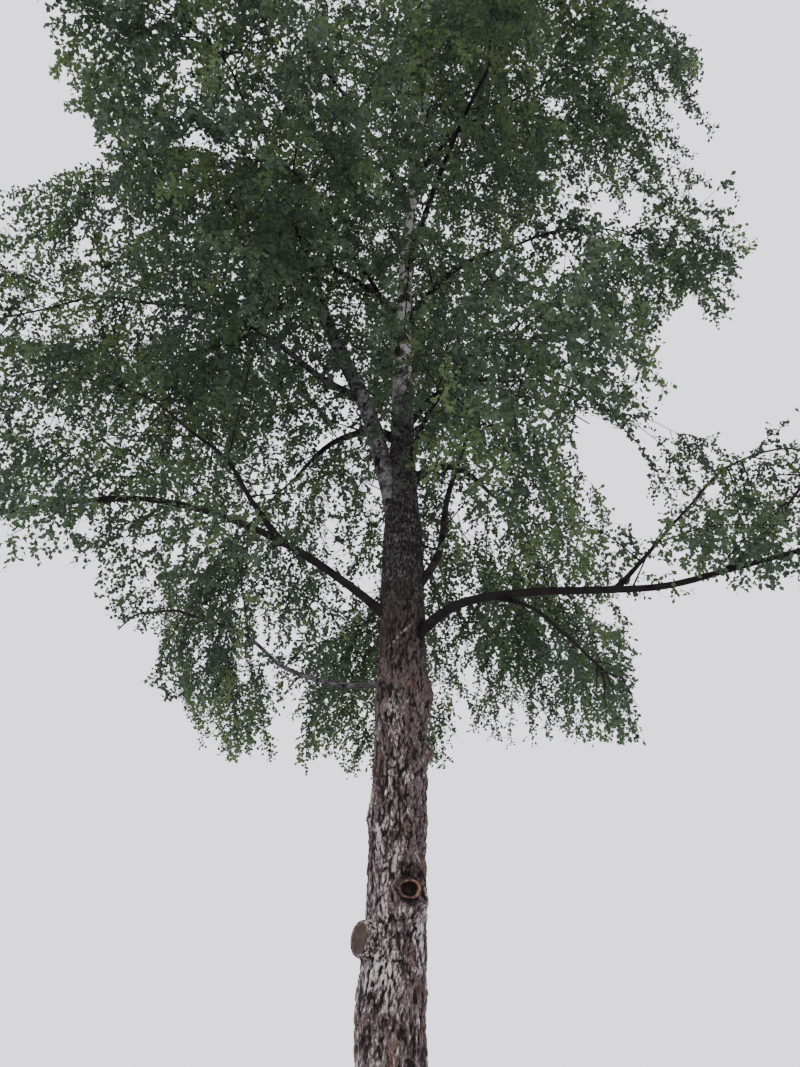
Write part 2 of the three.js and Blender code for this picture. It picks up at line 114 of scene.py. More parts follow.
SPRAY_POSE = {"splay": 46, "hang": 0.3, "hang_more": 0.4, "length_wander": 0.15, "root_at": 0.97}
SEEDS = {"limb": 200, "stem": 300, "spray": 500}
DRAWS = {"start": 7919, "seed_step": 104729, "factor": 16807, "prime": 2147483647}
SPACE_CLEAR = 0.045
LIMB_CLEAR = 0.075

# The finer growth, which the solid model leaves out: twigs on the boughs, fine twigs on every twig, smaller
# sprays along them all, and the shoots and leaves of a spray
GROWTH_SEED = 31
BOX_MARGIN = 0.06
INNER_TWIG = {"every": 0.22, "lengths": (0.8, 1.9), "weep": 0.6, "first": 0.3}
LEADER_TWIG = {**INNER_TWIG, "first": 0.0}
STEM_SLIM = 0.62
BARE_PART = {
    "right_low": 0.5, "right_inner": 0.2, "right_outer": 0.2, "left_low": 0.45, "left_small": 0.45,
}
LEADER_FROM = 6.8
FINE_TWIG = {"every": 0.22, "lengths": (0.4, 0.85), "weep": 0.7, "first": 0.15}
FINE_ANGLE_WANDER = (0.8, 1.15)
SMALL_SPRAY = {
    "every": 0.1, "fewest": 2, "lengths": (0.28, 0.5), "open": 58, "open_wander": (0.6, 1.2), "hang": 0.5,
}
SPRAYS_FROM = {"stem": 0.12, "twig": 0.1, "fine_twig": 0.2}
SPRAY_AXIS = {"steps": 2, "weep": 0.35}
HANGING = {"behind": 1.6, "below": 8.0, "longer": 1.5, "hang": 1.3}
SPRAY_APART = {"inner": 0.31, "outer": 0.215, "from": 0.8, "to": 2.4, "high": 10.0, "closer": 0.9}
NEIGHBOURS = [(i, j, k) for i in (-1, 0, 1) for j in (-1, 0, 1) for k in (-1, 0, 1)]
SHOOT = {
    "every": 0.072, "fewest": 4, "first": 0.6, "open": 60, "open_wander": (0.7, 1.2), "reach": (0.1, 0.22),
    "reach_wander": (0.8, 1.2), "hang": 0.3,
}
LEAF = {
    "along": 0.35, "aside": 0.4, "hang": 0.3, "loose": 0.55, "face_up": 0.6, "tumble": 0.9, "slip": 0.3,
    "sizes": (0.75, 1.15), "clear": 0.012, "full_from": 12, "small_to": 6, "small": 0.84,
}
LEAF_SHAPE = {"widest_at": 0.54, "half_width": 0.36, "fold": 0.06}

# How thick the growth is, how many sides it has, and how many parts a step of its path is rounded into
TWIG_RADII = {"twig": (0.009, 0.003), "fine_twig": (0.0045, 0.002), "spray_axes": 0.003, "shoots": 0.002}
TUBE_SIDES = {"stem": 8, "twig": 4}
ROUNDING = {"bough": 12, "stem": 5, "twig": 3}

# Where the photo was taken from, and its lens: its focal length and the photo's height in pixels, how far it
# is pitched up in degrees, and the sensor's longer side in millimetres
VIEWPOINT = (0.095, -6.4, 1.6)
LENS = {"pixels": 801, "photo_height": 1067, "pitch": 33, "sensor": 36}

# Where that viewpoint sees open sky past the crown: outlines on the upright plane through the trunk
OPEN_SKY = {
    "right": [
        (4.6, 20), (4.3, 16.4), (4.9, 15.0), (4.6, 13.7), (4.8, 13.2), (4.6, 12.7), (4.9, 11.8), (4.6, 11.1),
        (4.6, 10.1), (4.3, 9.7), (4.1, 9.1), (3.9, 8.5), (3.6, 8.5), (3.6, 9.2), (3.2, 8.7), (3.0, 8.2),
        (3.2, 7.7), (2.9, 7.4), (2.5, 6.9), (2.2, 7.1), (2.0, 7.3), (1.9, 6.9), (2.1, 6.3), (2.3, 6.1),
        (2.6, 6.4), (2.8, 6.9), (3.0, 7.0), (3.3, 7.0), (3.4, 7.4), (3.7, 7.5), (4.0, 7.5), (4.3, 7.9),
        (4.6, 8.2), (5.2, 8.6), (9, 10), (9, 20),
    ],
    "under_right": [
        (2.2, 5.0), (2.8, 5.05), (3.2, 5.1), (4.0, 5.2), (4.4, 2.0), (0.05, 2.0), (0.05, 3.4), (1.2, 3.7),
        (2.1, 3.7), (2.1, 4.1), (2.2, 4.5),
    ],
    "left": [
        (-9, 20), (-6.0, 16.2), (-5.4, 15.1), (-5.3, 14.0), (-4.9, 13.2), (-4.3, 12.8), (-4.0, 11.8),
        (-4.6, 11.9), (-4.7, 11.3), (-5.6, 11.3), (-9, 11.3),
    ],
    "under_left": [
        (-4.4, 5.6), (-4.0, 5.7), (-3.4, 5.2), (-3.1, 5.4), (-2.9, 5.3), (-2.6, 5.0), (-2.5, 4.8),
        (-2.3, 4.7), (-2.0, 4.6), (-2.1, 4.2), (-1.7, 4.0), (-1.5, 3.6), (-0.3, 3.4), (0.05, 3.3),
        (0.05, 2.0), (-5.2, 2.0),
    ],
}

# How rugged the bark is: between which heights it grows smooth, and the radius from which it is full
RUGGED = {"heights": (4.5, 8.5), "shares": (1, 0.15), "full_radius": 0.2}
BOUGH_RUGGED_RADIUS = 0.06
BOUGH_PLATES = {"Plate Width": 0.022, "Plate Height": 0.022, "Depth": 0.007, "Swell": 0.02}

# The heights between which the trunk's flakes grow fewer, it grows darker, and one bark gives way to the
# next; the tints between which a mark becomes a pale ridge, and those at which it is painted with the shade
# of a cavity; and how pale some limbs are
FEWER_FLAKES = (3.7, 4.3)
DARKER = (3.7, 4.8)
MIDDLE_BARK = (4.6, 5.4)
YOUNG_BARK = (6.9, 8.1)
SMOOTH_BARK = (7.5, 9.5)
PATCHY = 0.7
RIDGE_TINT = (0.5, 0.95)
HOLLOW_SHADE_TINT = (0.15, 0.7)
PALE_LIMBS = {"second_stem": 0.5, "left_small": 0.3, "right_steep": 0.05, "stem_left": 0.2}

# Marks on the trunk: height, heading, lean in degrees, half height, half width, how far it stands out, and
# its tint, from about -1, near black painted shade on cavities, grooves and bulges, to about 1, pale bark
TRUNK_MARKS = [
    (2.36, 251, -6, 0.24, 0.042, 0.018, 1.0),
    (2.45, 308, 20, 0.09, 0.07, 0.045, -0.35),
    (2.52, 286, 0, 0.05, 0.05, 0.02, -0.5),
    (2.78, 262, 8, 0.13, 0.02, 0.004, -0.1),
    (2.10, 222, 0, 0.12, 0.09, 0.012, 0.9),
    (2.22, 238, 12, 0.13, 0.045, 0.012, 0.85),
    (2.33, 263, -4, 0.2, 0.03, -0.012, -0.35),
    (2.13, 262, 0, 0.012, 0.16, -0.02, -0.7),
    (1.72, 268, 0, 0.012, 0.2, -0.018, -0.6),
    (2.72, 246, 30, 0.03, 0.022, -0.016, -0.9),
    (4.57, 262, 42, 0.22, 0.036, 0.024, 1.1),
    (4.45, 238, 40, 0.24, 0.018, -0.018, -0.5),
    (4.68, 330, 20, 0.13, 0.07, -0.045, -1.2),
    (4.08, 352, 0, 0.16, 0.12, 0.045, 0.0),
    (3.62, 354, 0, 0.07, 0.09, 0.05, -0.2),
    (3.14, 186, 0, 0.08, 0.07, 0.03, 0.1),
    (4.02, 218, 10, 0.12, 0.05, 0.008, -0.4),
    (3.95, 250, 0, 0.13, 0.06, 0.004, 0.8),
    (3.35, 246, 8, 0.16, 0.05, 0.004, 0.9),
    (3.42, 278, -5, 0.1, 0.04, 0.004, 0.8),
    (3.05, 232, 10, 0.1, 0.05, 0.004, 0.8),
    (2.92, 238, 0, 0.14, 0.07, 0.004, 0.8),
    (5.3, 120, 10, 0.2, 0.08, 0.02, 0.2),
    (3.3, 60, 20, 0.2, 0.06, 0.02, 0.6),
    (2.2, 110, -10, 0.14, 0.1, 0.03, 0.2),
    (1.3, 30, 10, 0.2, 0.08, 0.02, 0.5),
    (1.85, 196, 0, 0.35, 0.2, 0.03, 0.1),
    (2.0, 250, -8, 0.22, 0.1, 0.004, 0.5),
    (2.3, 322, 4, 0.3, 0.03, 0.02, 0.7),
    (3.72, 262, 0, 0.2, 0.09, 0.0, 0.4),
]

# Old knots in the bark: height, heading, radius, how far the ring stands out and how pale it is; and the
# shape that they share: how tall against their width, and the rest in shares of the radius
EYE_KNOTS = [
    (2.61, 290, 0.12, 0.05, 0.15),
    (4.17, 217, 0.034, 0.012, 0.9),
    (4.52, 318, 0.034, 0.014, 0.5),
    (4.43, 300, 0.024, 0.01, 0.5),
    (3.1, 80, 0.04, 0.014, 0.9),
]
EYE_SHAPE = {"tall": 1.5, "ring": 0.45, "rim": 0.3, "pupil": 0.62, "dark": 0.9}

# Profiles of the scars: the distance along its axis, the radius there, and a value for its finish, which at
# the bottom of the knot's ring paints the shade of its hole
STUB_SIDE = [
    (0.05, 0.17, 0), (0.15, 0.15, 0), (0.2, 0.138, 0), (0.24, 0.13, 0), (0.28, 0.122, 0), (0.3, 0.117, 0),
    (0.306, 0.113, 0), (0.304, 0.109, 0), (0.28, 0.106, 0),
]
STUB_FACE = [
    (0.27, 0.11, 1.0), (0.299, 0.1105, 1.0), (0.302, 0.092, 0.84), (0.304, 0.05, 0.46), (0.303, 0.004, 0.03),
]
KNOT_RING = [
    (0.1, 0.13, 0), (0.19, 0.115, 0), (0.25, 0.096, 0.1), (0.276, 0.086, 0.35), (0.286, 0.079, 0.5),
    (0.286, 0.072, 0.55), (0.276, 0.066, 0.62), (0.258, 0.061, 0.75), (0.236, 0.056, 0.95), (0.232, 0.004, 1),
]
SCAR_RINGS = {"stub_side": 8, "stub_face": 4, "knot_ring": 4}

# The stub's bark: how rugged it is along the axis, how pale, and how deep against the trunk's
STUB_RUGGED = [(0.18, 0.8), (0.26, 0.7), (0.298, 0.1)]
STUB_TINT = 0.55
STUB_DEPTH = 0.7

# How a scar is out of round: the waves round it, their phase and their share
OUT_OF_ROUND = [(3, 1, 1), (5, 0, 0.6), (8, 2, 0.4)]

# The rows of the trunk's mesh: from this height on, this far apart
TRUNK_ROWS = [(0.0, 0.0145), (5.6, 0.035), (8.0, 0.1), (12.0, 0.25)]

# Patches on the bark: how squeezed they are upwards, their scale, detail and roughness, and the value of the
# noise at which a patch starts and is full
PATCHES = {
    "rust": (0.14, 15.0, 5.0, 0.65, 0.54, 0.66),
    "lenticels": (7, 9.0, 4.0, 0.6, 0.56, 0.66),
    "peeled": (1.8, 3.6, 5.0, 0.6, 0.5, 0.6),
    "bands": (3.2, 5.0, 4.0, 0.6, 0.5, 0.58),
}

# The leaves' greens with the share of each, partly their own range of green and partly lit and shaded copies;
# the drifts of painted light and shade in which they are dealt out; and what a leaf adds to the light that it
# lets through
LEAF_GREENS = {
    "leaves_deep": ((0.036, 0.057, 0.043), 0.18),
    "leaves_shaded": ((0.043, 0.068, 0.048), 0.19),
    "leaves_mid": ((0.050, 0.080, 0.053), 0.19),
    "leaves_soft": ((0.059, 0.093, 0.056), 0.18),
    "leaves_fresh": ((0.070, 0.108, 0.058), 0.15),
    "leaves_bright": ((0.088, 0.130, 0.063), 0.11),
}
LIGHT_AND_SHADE_DRIFTS = [((1.9, 1.3, 0.8), 0), ((-0.9, 1.7, 1.6), 2), ((0.4, -1.1, 2.3), 0)]
LIGHT_AND_SHADE_SHARE = 0.3
LEAF_GLOW = (1.6, 1.5, 0.95)

# The soft sun: its strength, and in degrees its angle across and its turns; and the floor's corners
SUN = {"strength": 1.0, "across": 40, "turns": (42, -18, -20)}
FLOOR_CORNERS = 96


# Small sums on vectors and paths


def mix(low, high, share):
    return low + (high - low) * share


def unit(vector):
    return vector / np.linalg.norm(vector, axis=-1, keepdims=True)


class Draws:
    """The source's own small generator, so that the same tree grows here."""

    def __init__(self, seed):
        self.state = DRAWS["start"] + seed * DRAWS["seed_step"]

    def __call__(self):
        self.state = self.state * DRAWS["factor"] % DRAWS["prime"]
        return self.state / DRAWS["prime"]


def compass(heading, slope):
    flat = math.cos(math.radians(slope))
    east = math.cos(math.radians(heading))
    north = math.sin(math.radians(heading))
    return np.array([flat * east, flat * north, math.sin(math.radians(slope))])


def level_side(direction):
    side = np.cross(direction, UP)
    size = np.linalg.norm(side)
    return np.array([1.0, 0.0, 0.0]) if size < 0.001 else side / size


def turned(vector, axis, angle):
    along = axis * np.dot(axis, vector) * (1 - math.cos(angle))
    return vector * math.cos(angle) + np.cross(axis, vector) * math.sin(angle) + along


def step_on(path, share):
    place = share * (len(path) - 1)
    step = min(int(place), len(path) - 2)
    return step, place - step


def point_on(path, share):
    step, part = step_on(path, share)
    return mix(path[step], path[step + 1], part)


def direction_on(path, share):
    step = step_on(path, share)[0]
    return unit(path[step + 1] - path[step])


def slope_at(rise, share):
    return float(np.interp(share * (len(rise) - 1), range(len(rise)), rise))


def limb_path(start, heading, rise, length, steps, wander, draw):
    path = [start]
    for i in range(steps):
        turns = [wander * (2 * draw() - 1) if i else 0 for _ in range(2)]
        ahead = compass(heading + turns[0], slope_at(rise, i / (steps - 1)) + turns[1])
        path.append(path[-1] + ahead * length / steps)
    return np.array(path)


def weeping_path(start, direction, length, steps, weep):
    path = [start]
    ahead = direction
    for _ in range(steps):
        ahead = unit(ahead - UP * weep / steps)
        path.append(path[-1] + ahead * length / steps)
    return np.array(path)


def rounded(path, parts):
    """A smooth curve through the points of a path."""
    ends = np.vstack([2 * path[0] - path[1], path, 2 * path[-1] - path[-2]])
    steps = np.linspace(0, 1, parts, endpoint=False)[:, None]
    pieces = []
    for a, b, c, d in zip(ends, ends[1:], ends[2:], ends[3:]):
        cubic = 2 * b + (c - a) * steps + (2 * a - 5 * b + 4 * c - d) * steps**2
        pieces.append((cubic + (3 * b - a - 3 * c + d) * steps**3) / 2)
    return np.vstack([*pieces, path[-1:]])


def away_from(points, starts, ends):
    """How far each point is from each straight piece, and where along that piece it is nearest."""
    span = ends - starts
    along = np.einsum("psk,sk->ps", points[:, None] - starts, span) / np.einsum("sk,sk->s", span, span)
    along = np.clip(along, 0, 1)
    foot = starts + along[..., None] * span
    return np.linalg.norm(points[:, None] - foot, axis=2), along


def is_inside(outline, across, up):
    """Whether points on a plane are inside an outline, by the edges that lie to one side of them."""
    inside = np.zeros(len(across), dtype=bool)
    for (x0, z0), (x1, z1) in zip(outline, outline[1:] + outline[:1]):
        if z0 != z1:
            edge = x0 + (up - z0) * (x1 - x0) / (z1 - z0)
            inside ^= ((z0 > up) != (z1 > up)) & (across < edge)
    return inside


# The limbs and masses, by the source's rule


def trunk_centre(height):
    low = LEAN["low"] * np.minimum(height / LEAN["low_by"], 1)
    above = np.maximum(height - LEAN["high_from"], 0) / (TRUNK_TOP - LEAN["high_from"])
    sway = SWAY["reach"] * np.sin(2 * math.pi * height / SWAY["wave"])
    return np.stack([low + LEAN["high"] * above**2, sway, height * np.ones_like(sway)], axis=-1)


def trunk_radius(height, turn):
    buttress = 1 - TRUNK_FLARE["depth"] * (0.5 - 0.5 * np.cos(TRUNK_FLARE["buttresses"] * turn))
    taper = np.interp(height, *zip(*TRUNK_TAPER))
    return taper + TRUNK_FLARE["reach"] * np.exp(-height / TRUNK_FLARE["fade"]) * buttress


def upper_limbs():
    count = UPPER["boughs"] + UPPER["shoots"]
    limbs = []
    for i in range(count):
        share = i / (count - 1)
        shrunk = share ** UPPER["shrink"]
        leaves = tuple(mix(*UPPER[key], shrunk) for key in ("reaches", "spreads", "droops"))
        limbs.append((
            "trunk", mix(UPPER["from"], UPPER["to"], share), (UPPER["heading"] + UPPER["turn"] * i) % 360,
            [slope + UPPER["steeper"] * share for slope in UPPER["rise"]],
            mix(*UPPER["lengths"], shrunk), mix(*UPPER["girths"], shrunk), leaves,
        ))
    return limbs


def all_boughs():
    upper = upper_limbs()[: UPPER["boughs"]]
    return {**BOUGHS, **{f"upper_{i + 1}": bough for i, bough in enumerate(upper)}}


def lay_out_limbs():
    """Each bough's path, from the middle of what carries it, and its girth and length."""
    limbs = {}
    for i, (name, (on, at, heading, rise, length, girth, _)) in enumerate(all_boughs().items()):
        if on == "trunk":
            start = trunk_centre(np.float64(at))
        else:
            start = point_on(limbs[on]["path"], at / limbs[on]["length"])
        steps = max(3, math.floor(length / LIMB["step"] + 0.5))
        path = limb_path(start, heading, rise, length, steps, LIMB["wander"], Draws(i + SEEDS["limb"]))
        limbs[name] = {"path": path, "length": length, "girth": girth}
    return limbs


def limb_radius(limb, share):
    swell = 1 + LIMB["swell"] * np.exp(-share * limb["length"] / LIMB["fade"])
    return limb["girth"] * mix(1, LIMB["tip"], share) * swell


def lay_out_masses(limbs):
    masses = []

    def add_mass(leaves, girth, start, ahead):
        slope = math.degrees(math.asin(ahead[2]))
        heading = math.degrees(math.atan2(ahead[1], ahead[0]))
        reach, spread, droop = leaves
        rise = [slope, slope - droop / 2, slope - droop]
        seed = len(masses) + 1
        draw = Draws(seed + SEEDS["stem"])
        stem = limb_path(start, heading, rise, reach, STEM["steps"], STEM["wander"], draw)
        girth = max(girth, STEM["least_girth"])
        masses.append({"stem": stem, "reach": reach, "spread": spread, "seed": seed, "girth": girth})

    for name, bough in all_boughs().items():
        limb = limbs[name]
        ahead = direction_on(limb["path"], 1)
        add_mass(bough[6], limb_radius(limb, 1) * STEM["share_of_bough"], limb["path"][-1], ahead)
    for shoot in upper_limbs()[UPPER["boughs"] :]:
        ahead = compass(shoot[2], shoot[3][0])
        add_mass(shoot[6], shoot[5], trunk_centre(np.float64(shoot[1])), ahead)
    add_mass(CROWN_TOP, STEM["least_girth"], trunk_centre(np.float64(TRUNK_TOP)), UP)
    return masses


class Space:
    """Tells what is free: a mass keeps to the space that lies nearest its own stem, off every limb."""

    def __init__(self, limbs, masses):
        self.stems = np.array([[mass["stem"][:-1], mass["stem"][1:]] for mass in masses])
        trunk = trunk_centre(np.array(TRUNK_HEIGHTS))
        paths = [trunk] + [limb["path"] for limb in limbs.values()]
        girths = [trunk_radius(np.array(TRUNK_HEIGHTS), 0.0)]
        for limb in limbs.values():
            girths.append(limb_radius(limb, np.linspace(0, 1, len(limb["path"]))))
        self.starts = np.vstack([path[:-1] for path in paths])
        self.ends = np.vstack([path[1:] for path in paths])
        self.girths = np.hstack([girth[:-1] for girth in girths])
        self.tip_girths = np.hstack([girth[1:] for girth in girths])

    def is_own(self, points, mass, clear):
        starts, ends = self.stems[:, 0].reshape(-1, 3), self.stems[:, 1].reshape(-1, 3)
        away = away_from(points, starts, ends)[0].reshape(len(points), len(self.stems), -1).min(axis=2)
        rows = np.arange(len(points))
        own = away[rows, mass].copy()
        away[rows, mass] = np.inf
        return away.min(axis=1) > own + clear

    def is_off_limbs(self, points, clear):
        away, along = away_from(points, self.starts, self.ends)
        return (away - mix(self.girths, self.tip_girths, along)).min(axis=1) > clear

    def is_in_box(self, points):
        low, high = (np.array(corner) for corner in CAD_BOX)
        inside = (points > low - BOX_MARGIN) & (points < high + BOX_MARGIN)
        return inside.all(axis=1) & (points[:, 2] > 0)

    def is_in_crown(self, points):
        """In the box, and not where the viewpoint sees open sky."""
        closer = -VIEWPOINT[1] / np.maximum(points[:, 1] - VIEWPOINT[1], 0.1)
        across = VIEWPOINT[0] + (points[:, 0] - VIEWPOINT[0]) * closer
        up = VIEWPOINT[2] + (points[:, 2] - VIEWPOINT[2]) * closer
        open_sky = [is_inside(outline, across, up) for outline in OPEN_SKY.values()]
        return self.is_in_box(points) & ~np.any(open_sky, axis=0)


def in_chunks(test, points, *more, size=20000):
    """Runs a test on many points, some thousands at a time."""
    parts = []
    for first in range(0, len(points), size):
        last = first + size
        parts.append(test(points[first:last], *[each[first:last] for each in more]))
    return np.concatenate(parts)


def side_twigs(mass):
    """The side twigs of a mass's stem, in the source's order, by the golden angle."""
    draw = Draws(mass["seed"])
    count = TWIG_PLACES["count"]
    twigs = []
    for i in range(count):
        order = i * TWIG_PLACES["stride"] % count / (count - 1)
        share = mix(TWIG_PLACES["first"], TWIG_PLACES["last"], order)
        ahead = direction_on(mass["stem"], share)
        roll = math.radians(i * TWIG_ANGLE["roll"] + (2 * draw() - 1) * TWIG_ANGLE["roll_wander"])
        opened = math.radians(mix(TWIG_ANGLE["at_root"], TWIG_ANGLE["at_tip"], order))
        outward = turned(level_side(ahead), ahead, roll)
        away = abs(order - TWIG["longest_at"]) / (1 - TWIG["longest_at"])
        wander = 1 + TWIG["length_wander"] * (2 * draw() - 1)
        length = mass["spread"] * mix(1, TWIG["shortest"], away) * wander
        direction = ahead * math.cos(opened) + outward * math.sin(opened)
        path = weeping_path(point_on(mass["stem"], share), direction, length, TWIG["steps"], TWIG["weep"])
        twigs.append({"path": path, "length": length})
    return twigs


def large_sprays(path, length, spread, draw):
    """The sprays that the solid model shows as blades."""
    count = max(1, math.floor(length / SPRAY["spacing"] + 0.5))
    sprays = []
    for k in range(count):
        share = (k + 1) / count
        along = direction_on(path, share)
        side = 1 if k % 2 else -1
        splay = math.tan(math.radians(SPRAY_POSE["splay"])) * side if share < 1 else 0
        hang = SPRAY_POSE["hang"] + SPRAY_POSE["hang_more"] * draw()
        ahead = unit(along + level_side(along) * splay - UP * hang)
        # The source rolls its blade by this draw, which has no use here but keeps those after it in step
        draw()
        wander = 1 + SPRAY_POSE["length_wander"] * (2 * draw() - 1)
        size = (SPRAY["least"] + SPRAY["of_spread"] * spread) * wander
        root = point_on(path, min(share, SPRAY_POSE["root_at"]))
        sprays.append({"root": root, "ahead": ahead, "length": size})
    return sprays


# The finer growth, by the same rule


def middle_shares(count, first):
    """The middles of equal parts of a path, from a share of it to its end."""
    return [mix(first, 1, (k + 0.5) / count) for k in range(count)]


def opening_round(path, shares, angle, wander, random):
    """At each of some shares of a path, a direction that opens from it, round it by the golden angle."""
    roll = random.uniform(0, 360)
    for k, share in enumerate(shares):
        along = direction_on(path, share)
        outward = turned(level_side(along), along, math.radians(roll + k * TWIG_ANGLE["roll"]))
        opened = math.radians(angle * random.uniform(*wander))
        yield share, along * math.cos(opened) + outward * math.sin(opened)


def small_sprays(path, length, first, random):
    """Smaller sprays all along a twig; behind the trunk they hang longer."""
    count = max(SMALL_SPRAY["fewest"], int(length * (1 - first) / SMALL_SPRAY["every"]))
    hanging = path[-1][1] > HANGING["behind"] and path[-1][2] < HANGING["below"]
    hang = HANGING["hang"] if hanging else SMALL_SPRAY["hang"]
    longer = HANGING["longer"] if hanging else 1
    opening = (SMALL_SPRAY["open"], SMALL_SPRAY["open_wander"])
    sprays = []
    for share, direction in opening_round(path, middle_shares(count, first), *opening, random):
        size = random.uniform(*SMALL_SPRAY["lengths"]) * longer
        sprays.append({"root": point_on(path, share), "ahead": unit(direction - UP * hang), "length": size})
    return sprays


def more_twigs(path, length, rule, random):
    """Twigs along a limb or a twig."""
    count = int(length * (1 - rule["first"]) / rule["every"])
    opening = (TWIG_ANGLE["at_root"], FINE_ANGLE_WANDER)
    twigs = []
    for share, direction in opening_round(path, middle_shares(count, rule["first"]), *opening, random):
        size = random.uniform(*rule["lengths"])
        twig = weeping_path(point_on(path, share), direction, size, TWIG["steps"], rule["weep"])
        twigs.append({"path": twig, "length": size})
    return twigs


def spray_axis(spray):
    steps, weep = SPRAY_AXIS["steps"], SPRAY_AXIS["weep"]
    return weeping_path(spray["root"], spray["ahead"], spray["length"], steps, weep)


def grown_twigs(limbs, masses, space, random):
    """The side twigs of every stem by the source's rule, and then those of the boughs and the leader."""
    twigs = []
    for index, mass in enumerate(masses):
        for twig in side_twigs(mass):
            ends = twig["path"][1:]
            free = space.is_own(ends, np.full(len(ends), index), SPACE_CLEAR)
            if (free & space.is_off_limbs(ends, LIMB_CLEAR) & space.is_in_crown(ends)).all():
                twigs.append({**twig, "spread": mass["spread"], "seed": mass["seed"]})
    for name, limb in limbs.items():
        rule = {**INNER_TWIG, "first": BARE_PART.get(name, INNER_TWIG["first"])}
        twigs += fitting(more_twigs(limb["path"], limb["length"], rule, random), space)
    leader = trunk_centre(np.array([LEADER_FROM, *[each for each in TRUNK_HEIGHTS if each > LEADER_FROM]]))
    return twigs + fitting(more_twigs(leader, TRUNK_TOP - LEADER_FROM, LEADER_TWIG, random), space)


def fitting(twigs, space):
    """The twigs that keep off the limbs and inside the crown."""
    kept = []
    for twig in twigs:
        ends = twig["path"][1:]
        if (space.is_off_limbs(ends, LIMB_CLEAR) & space.is_in_crown(ends)).all():
            kept.append(twig)
    return kept


@functools.lru_cache(maxsize=1)
def grown_tree():
    """The whole tree as lines: boughs, stems, twigs, fine twigs, and sprays with the axis of each."""
    random = np.random.default_rng(GROWTH_SEED)
    limbs = lay_out_limbs()
    masses = lay_out_masses(limbs)
    space = Space(limbs, masses)
    twigs = grown_twigs(limbs, masses, space, random)
    finer = []
    for twig in twigs:
        finer += fitting(more_twigs(twig["path"], twig["length"], FINE_TWIG, random), space)
    sprays = fitted_sprays(all_sprays(masses, twigs, finer, random), space)
    leafy = {spray["on"] for spray in sprays if "on" in spray}
    return limbs, masses, twigs, [finer[number] for number in sorted(leafy)], sprays, space


def all_sprays(masses, twigs, finer, random):
    """The source's own sprays, and after them all the others in a shuffled order."""
    draws = {mass["seed"]: Draws(mass["seed"] + SEEDS["spray"]) for mass in masses}
    first, rest = [], []
    for mass in masses:
        draw = draws[mass["seed"]]
        first += large_sprays(mass["stem"][-2:], 2 * SPRAY["spacing"], mass["spread"], draw)
        rest += small_sprays(mass["stem"], mass["reach"], SPRAYS_FROM["stem"], random)
    for twig in twigs:
        if "seed" in twig:
            first += large_sprays(twig["path"], twig["length"], twig["spread"], draws[twig["seed"]])
        rest += small_sprays(twig["path"], twig["length"], SPRAYS_FROM["twig"], random)
    for number, twig in enumerate(finer):
        sprays = small_sprays(twig["path"], twig["length"], SPRAYS_FROM["fine_twig"], random)
        rest += [{**spray, "on": number} for spray in sprays]
    random.shuffle(rest)
    return first + rest


def fitted_sprays(sprays, space):
    """The sprays that keep off the limbs, inside the crown, and their distance from one another."""
    axes = np.array([spray_axis(spray) for spray in sprays])
    fits = in_chunks(lambda points: space.is_off_limbs(points, LIMB_CLEAR), axes[:, 2])
    fits &= space.is_in_crown(axes[:, 2]) & space.is_in_crown(axes[:, 1])
    fitting_sprays = [spray for spray, fit in zip(sprays, fits) if fit]
    kept, cells = [], {}
    for spray, axis, apart in zip(fitting_sprays, axes[fits], spacing_at(axes[fits][:, 1])):
        middle = axis[1]
        cell = tuple(np.floor(middle / SPRAY_APART["inner"]).astype(int))
        near = [cells.get((cell[0] + i, cell[1] + j, cell[2] + k), ()) for i, j, k in NEIGHBOURS]
        others = [other for found in near for other in found]
        if all(np.sum((other - middle) ** 2) >= apart**2 for other in others):
            cells.setdefault(cell, []).append(middle)
            kept.append({**spray, "axis": axis})
    return kept


def spacing_at(middles):
    """How far apart sprays keep: less towards the outside of the crown, and less high up."""
    away = np.linalg.norm(middles[:, :2], axis=1)
    reach = (SPRAY_APART["from"], SPRAY_APART["to"])
    aparts = np.interp(away, reach, (SPRAY_APART["inner"], SPRAY_APART["outer"]))
    return aparts * np.where(middles[:, 2] > SPRAY_APART["high"], SPRAY_APART["closer"], 1)


def spray_shoots(sprays, space, random):
    """The shoots all round each spray's axis: their roots and tips, and the number of the spray of each."""
    roots, tips, spray_of = [], [], []
    for number, spray in enumerate(sprays):
        axis = spray["axis"]
        count = max(SHOOT["fewest"], round(spray["length"] / SHOOT["every"]))
        shares = [(k + SHOOT["first"]) / count for k in range(count)]
        for share, direction in opening_round(axis, shares, SHOOT["open"], SHOOT["open_wander"], random):
            outline = min(share / SPRAY["widest_at"], (1 - share) / (1 - SPRAY["widest_at"]))
            reach = mix(*SHOOT["reach"], outline) * random.uniform(*SHOOT["reach_wander"])
            roots.append(point_on(axis, share))
            tips.append(roots[-1] + unit(direction - UP * SHOOT["hang"]) * reach)
            spray_of.append(number)
    tips = np.array(tips)
    free = in_chunks(lambda points: space.is_off_limbs(points, LEAF["clear"]), tips) & space.is_in_crown(tips)
    return np.array(roots)[free], tips[free], np.array(spray_of)[free]


# Meshes from arrays


def mesh_of(name, points, faces=(), edges=()):
    mesh = bpy.data.meshes.new(name)
    mesh.from_pydata(np.asarray(points).tolist(), list(edges), list(faces))
    mesh.validate()
    return mesh


def object_of(mesh):
    made = bpy.data.objects.new(mesh.name, mesh)
    bpy.context.scene.collection.objects.link(made)
    return made


def set_values(mesh, name, values):
    """Stores one number or one vector for each vertex."""
    values = np.asarray(values, dtype=np.float32)
    kind, field = ("FLOAT_VECTOR", "vector") if values.ndim == 2 else ("FLOAT", "value")
    mesh.attributes.new(name, kind, "POINT").data.foreach_set(field, values.ravel())


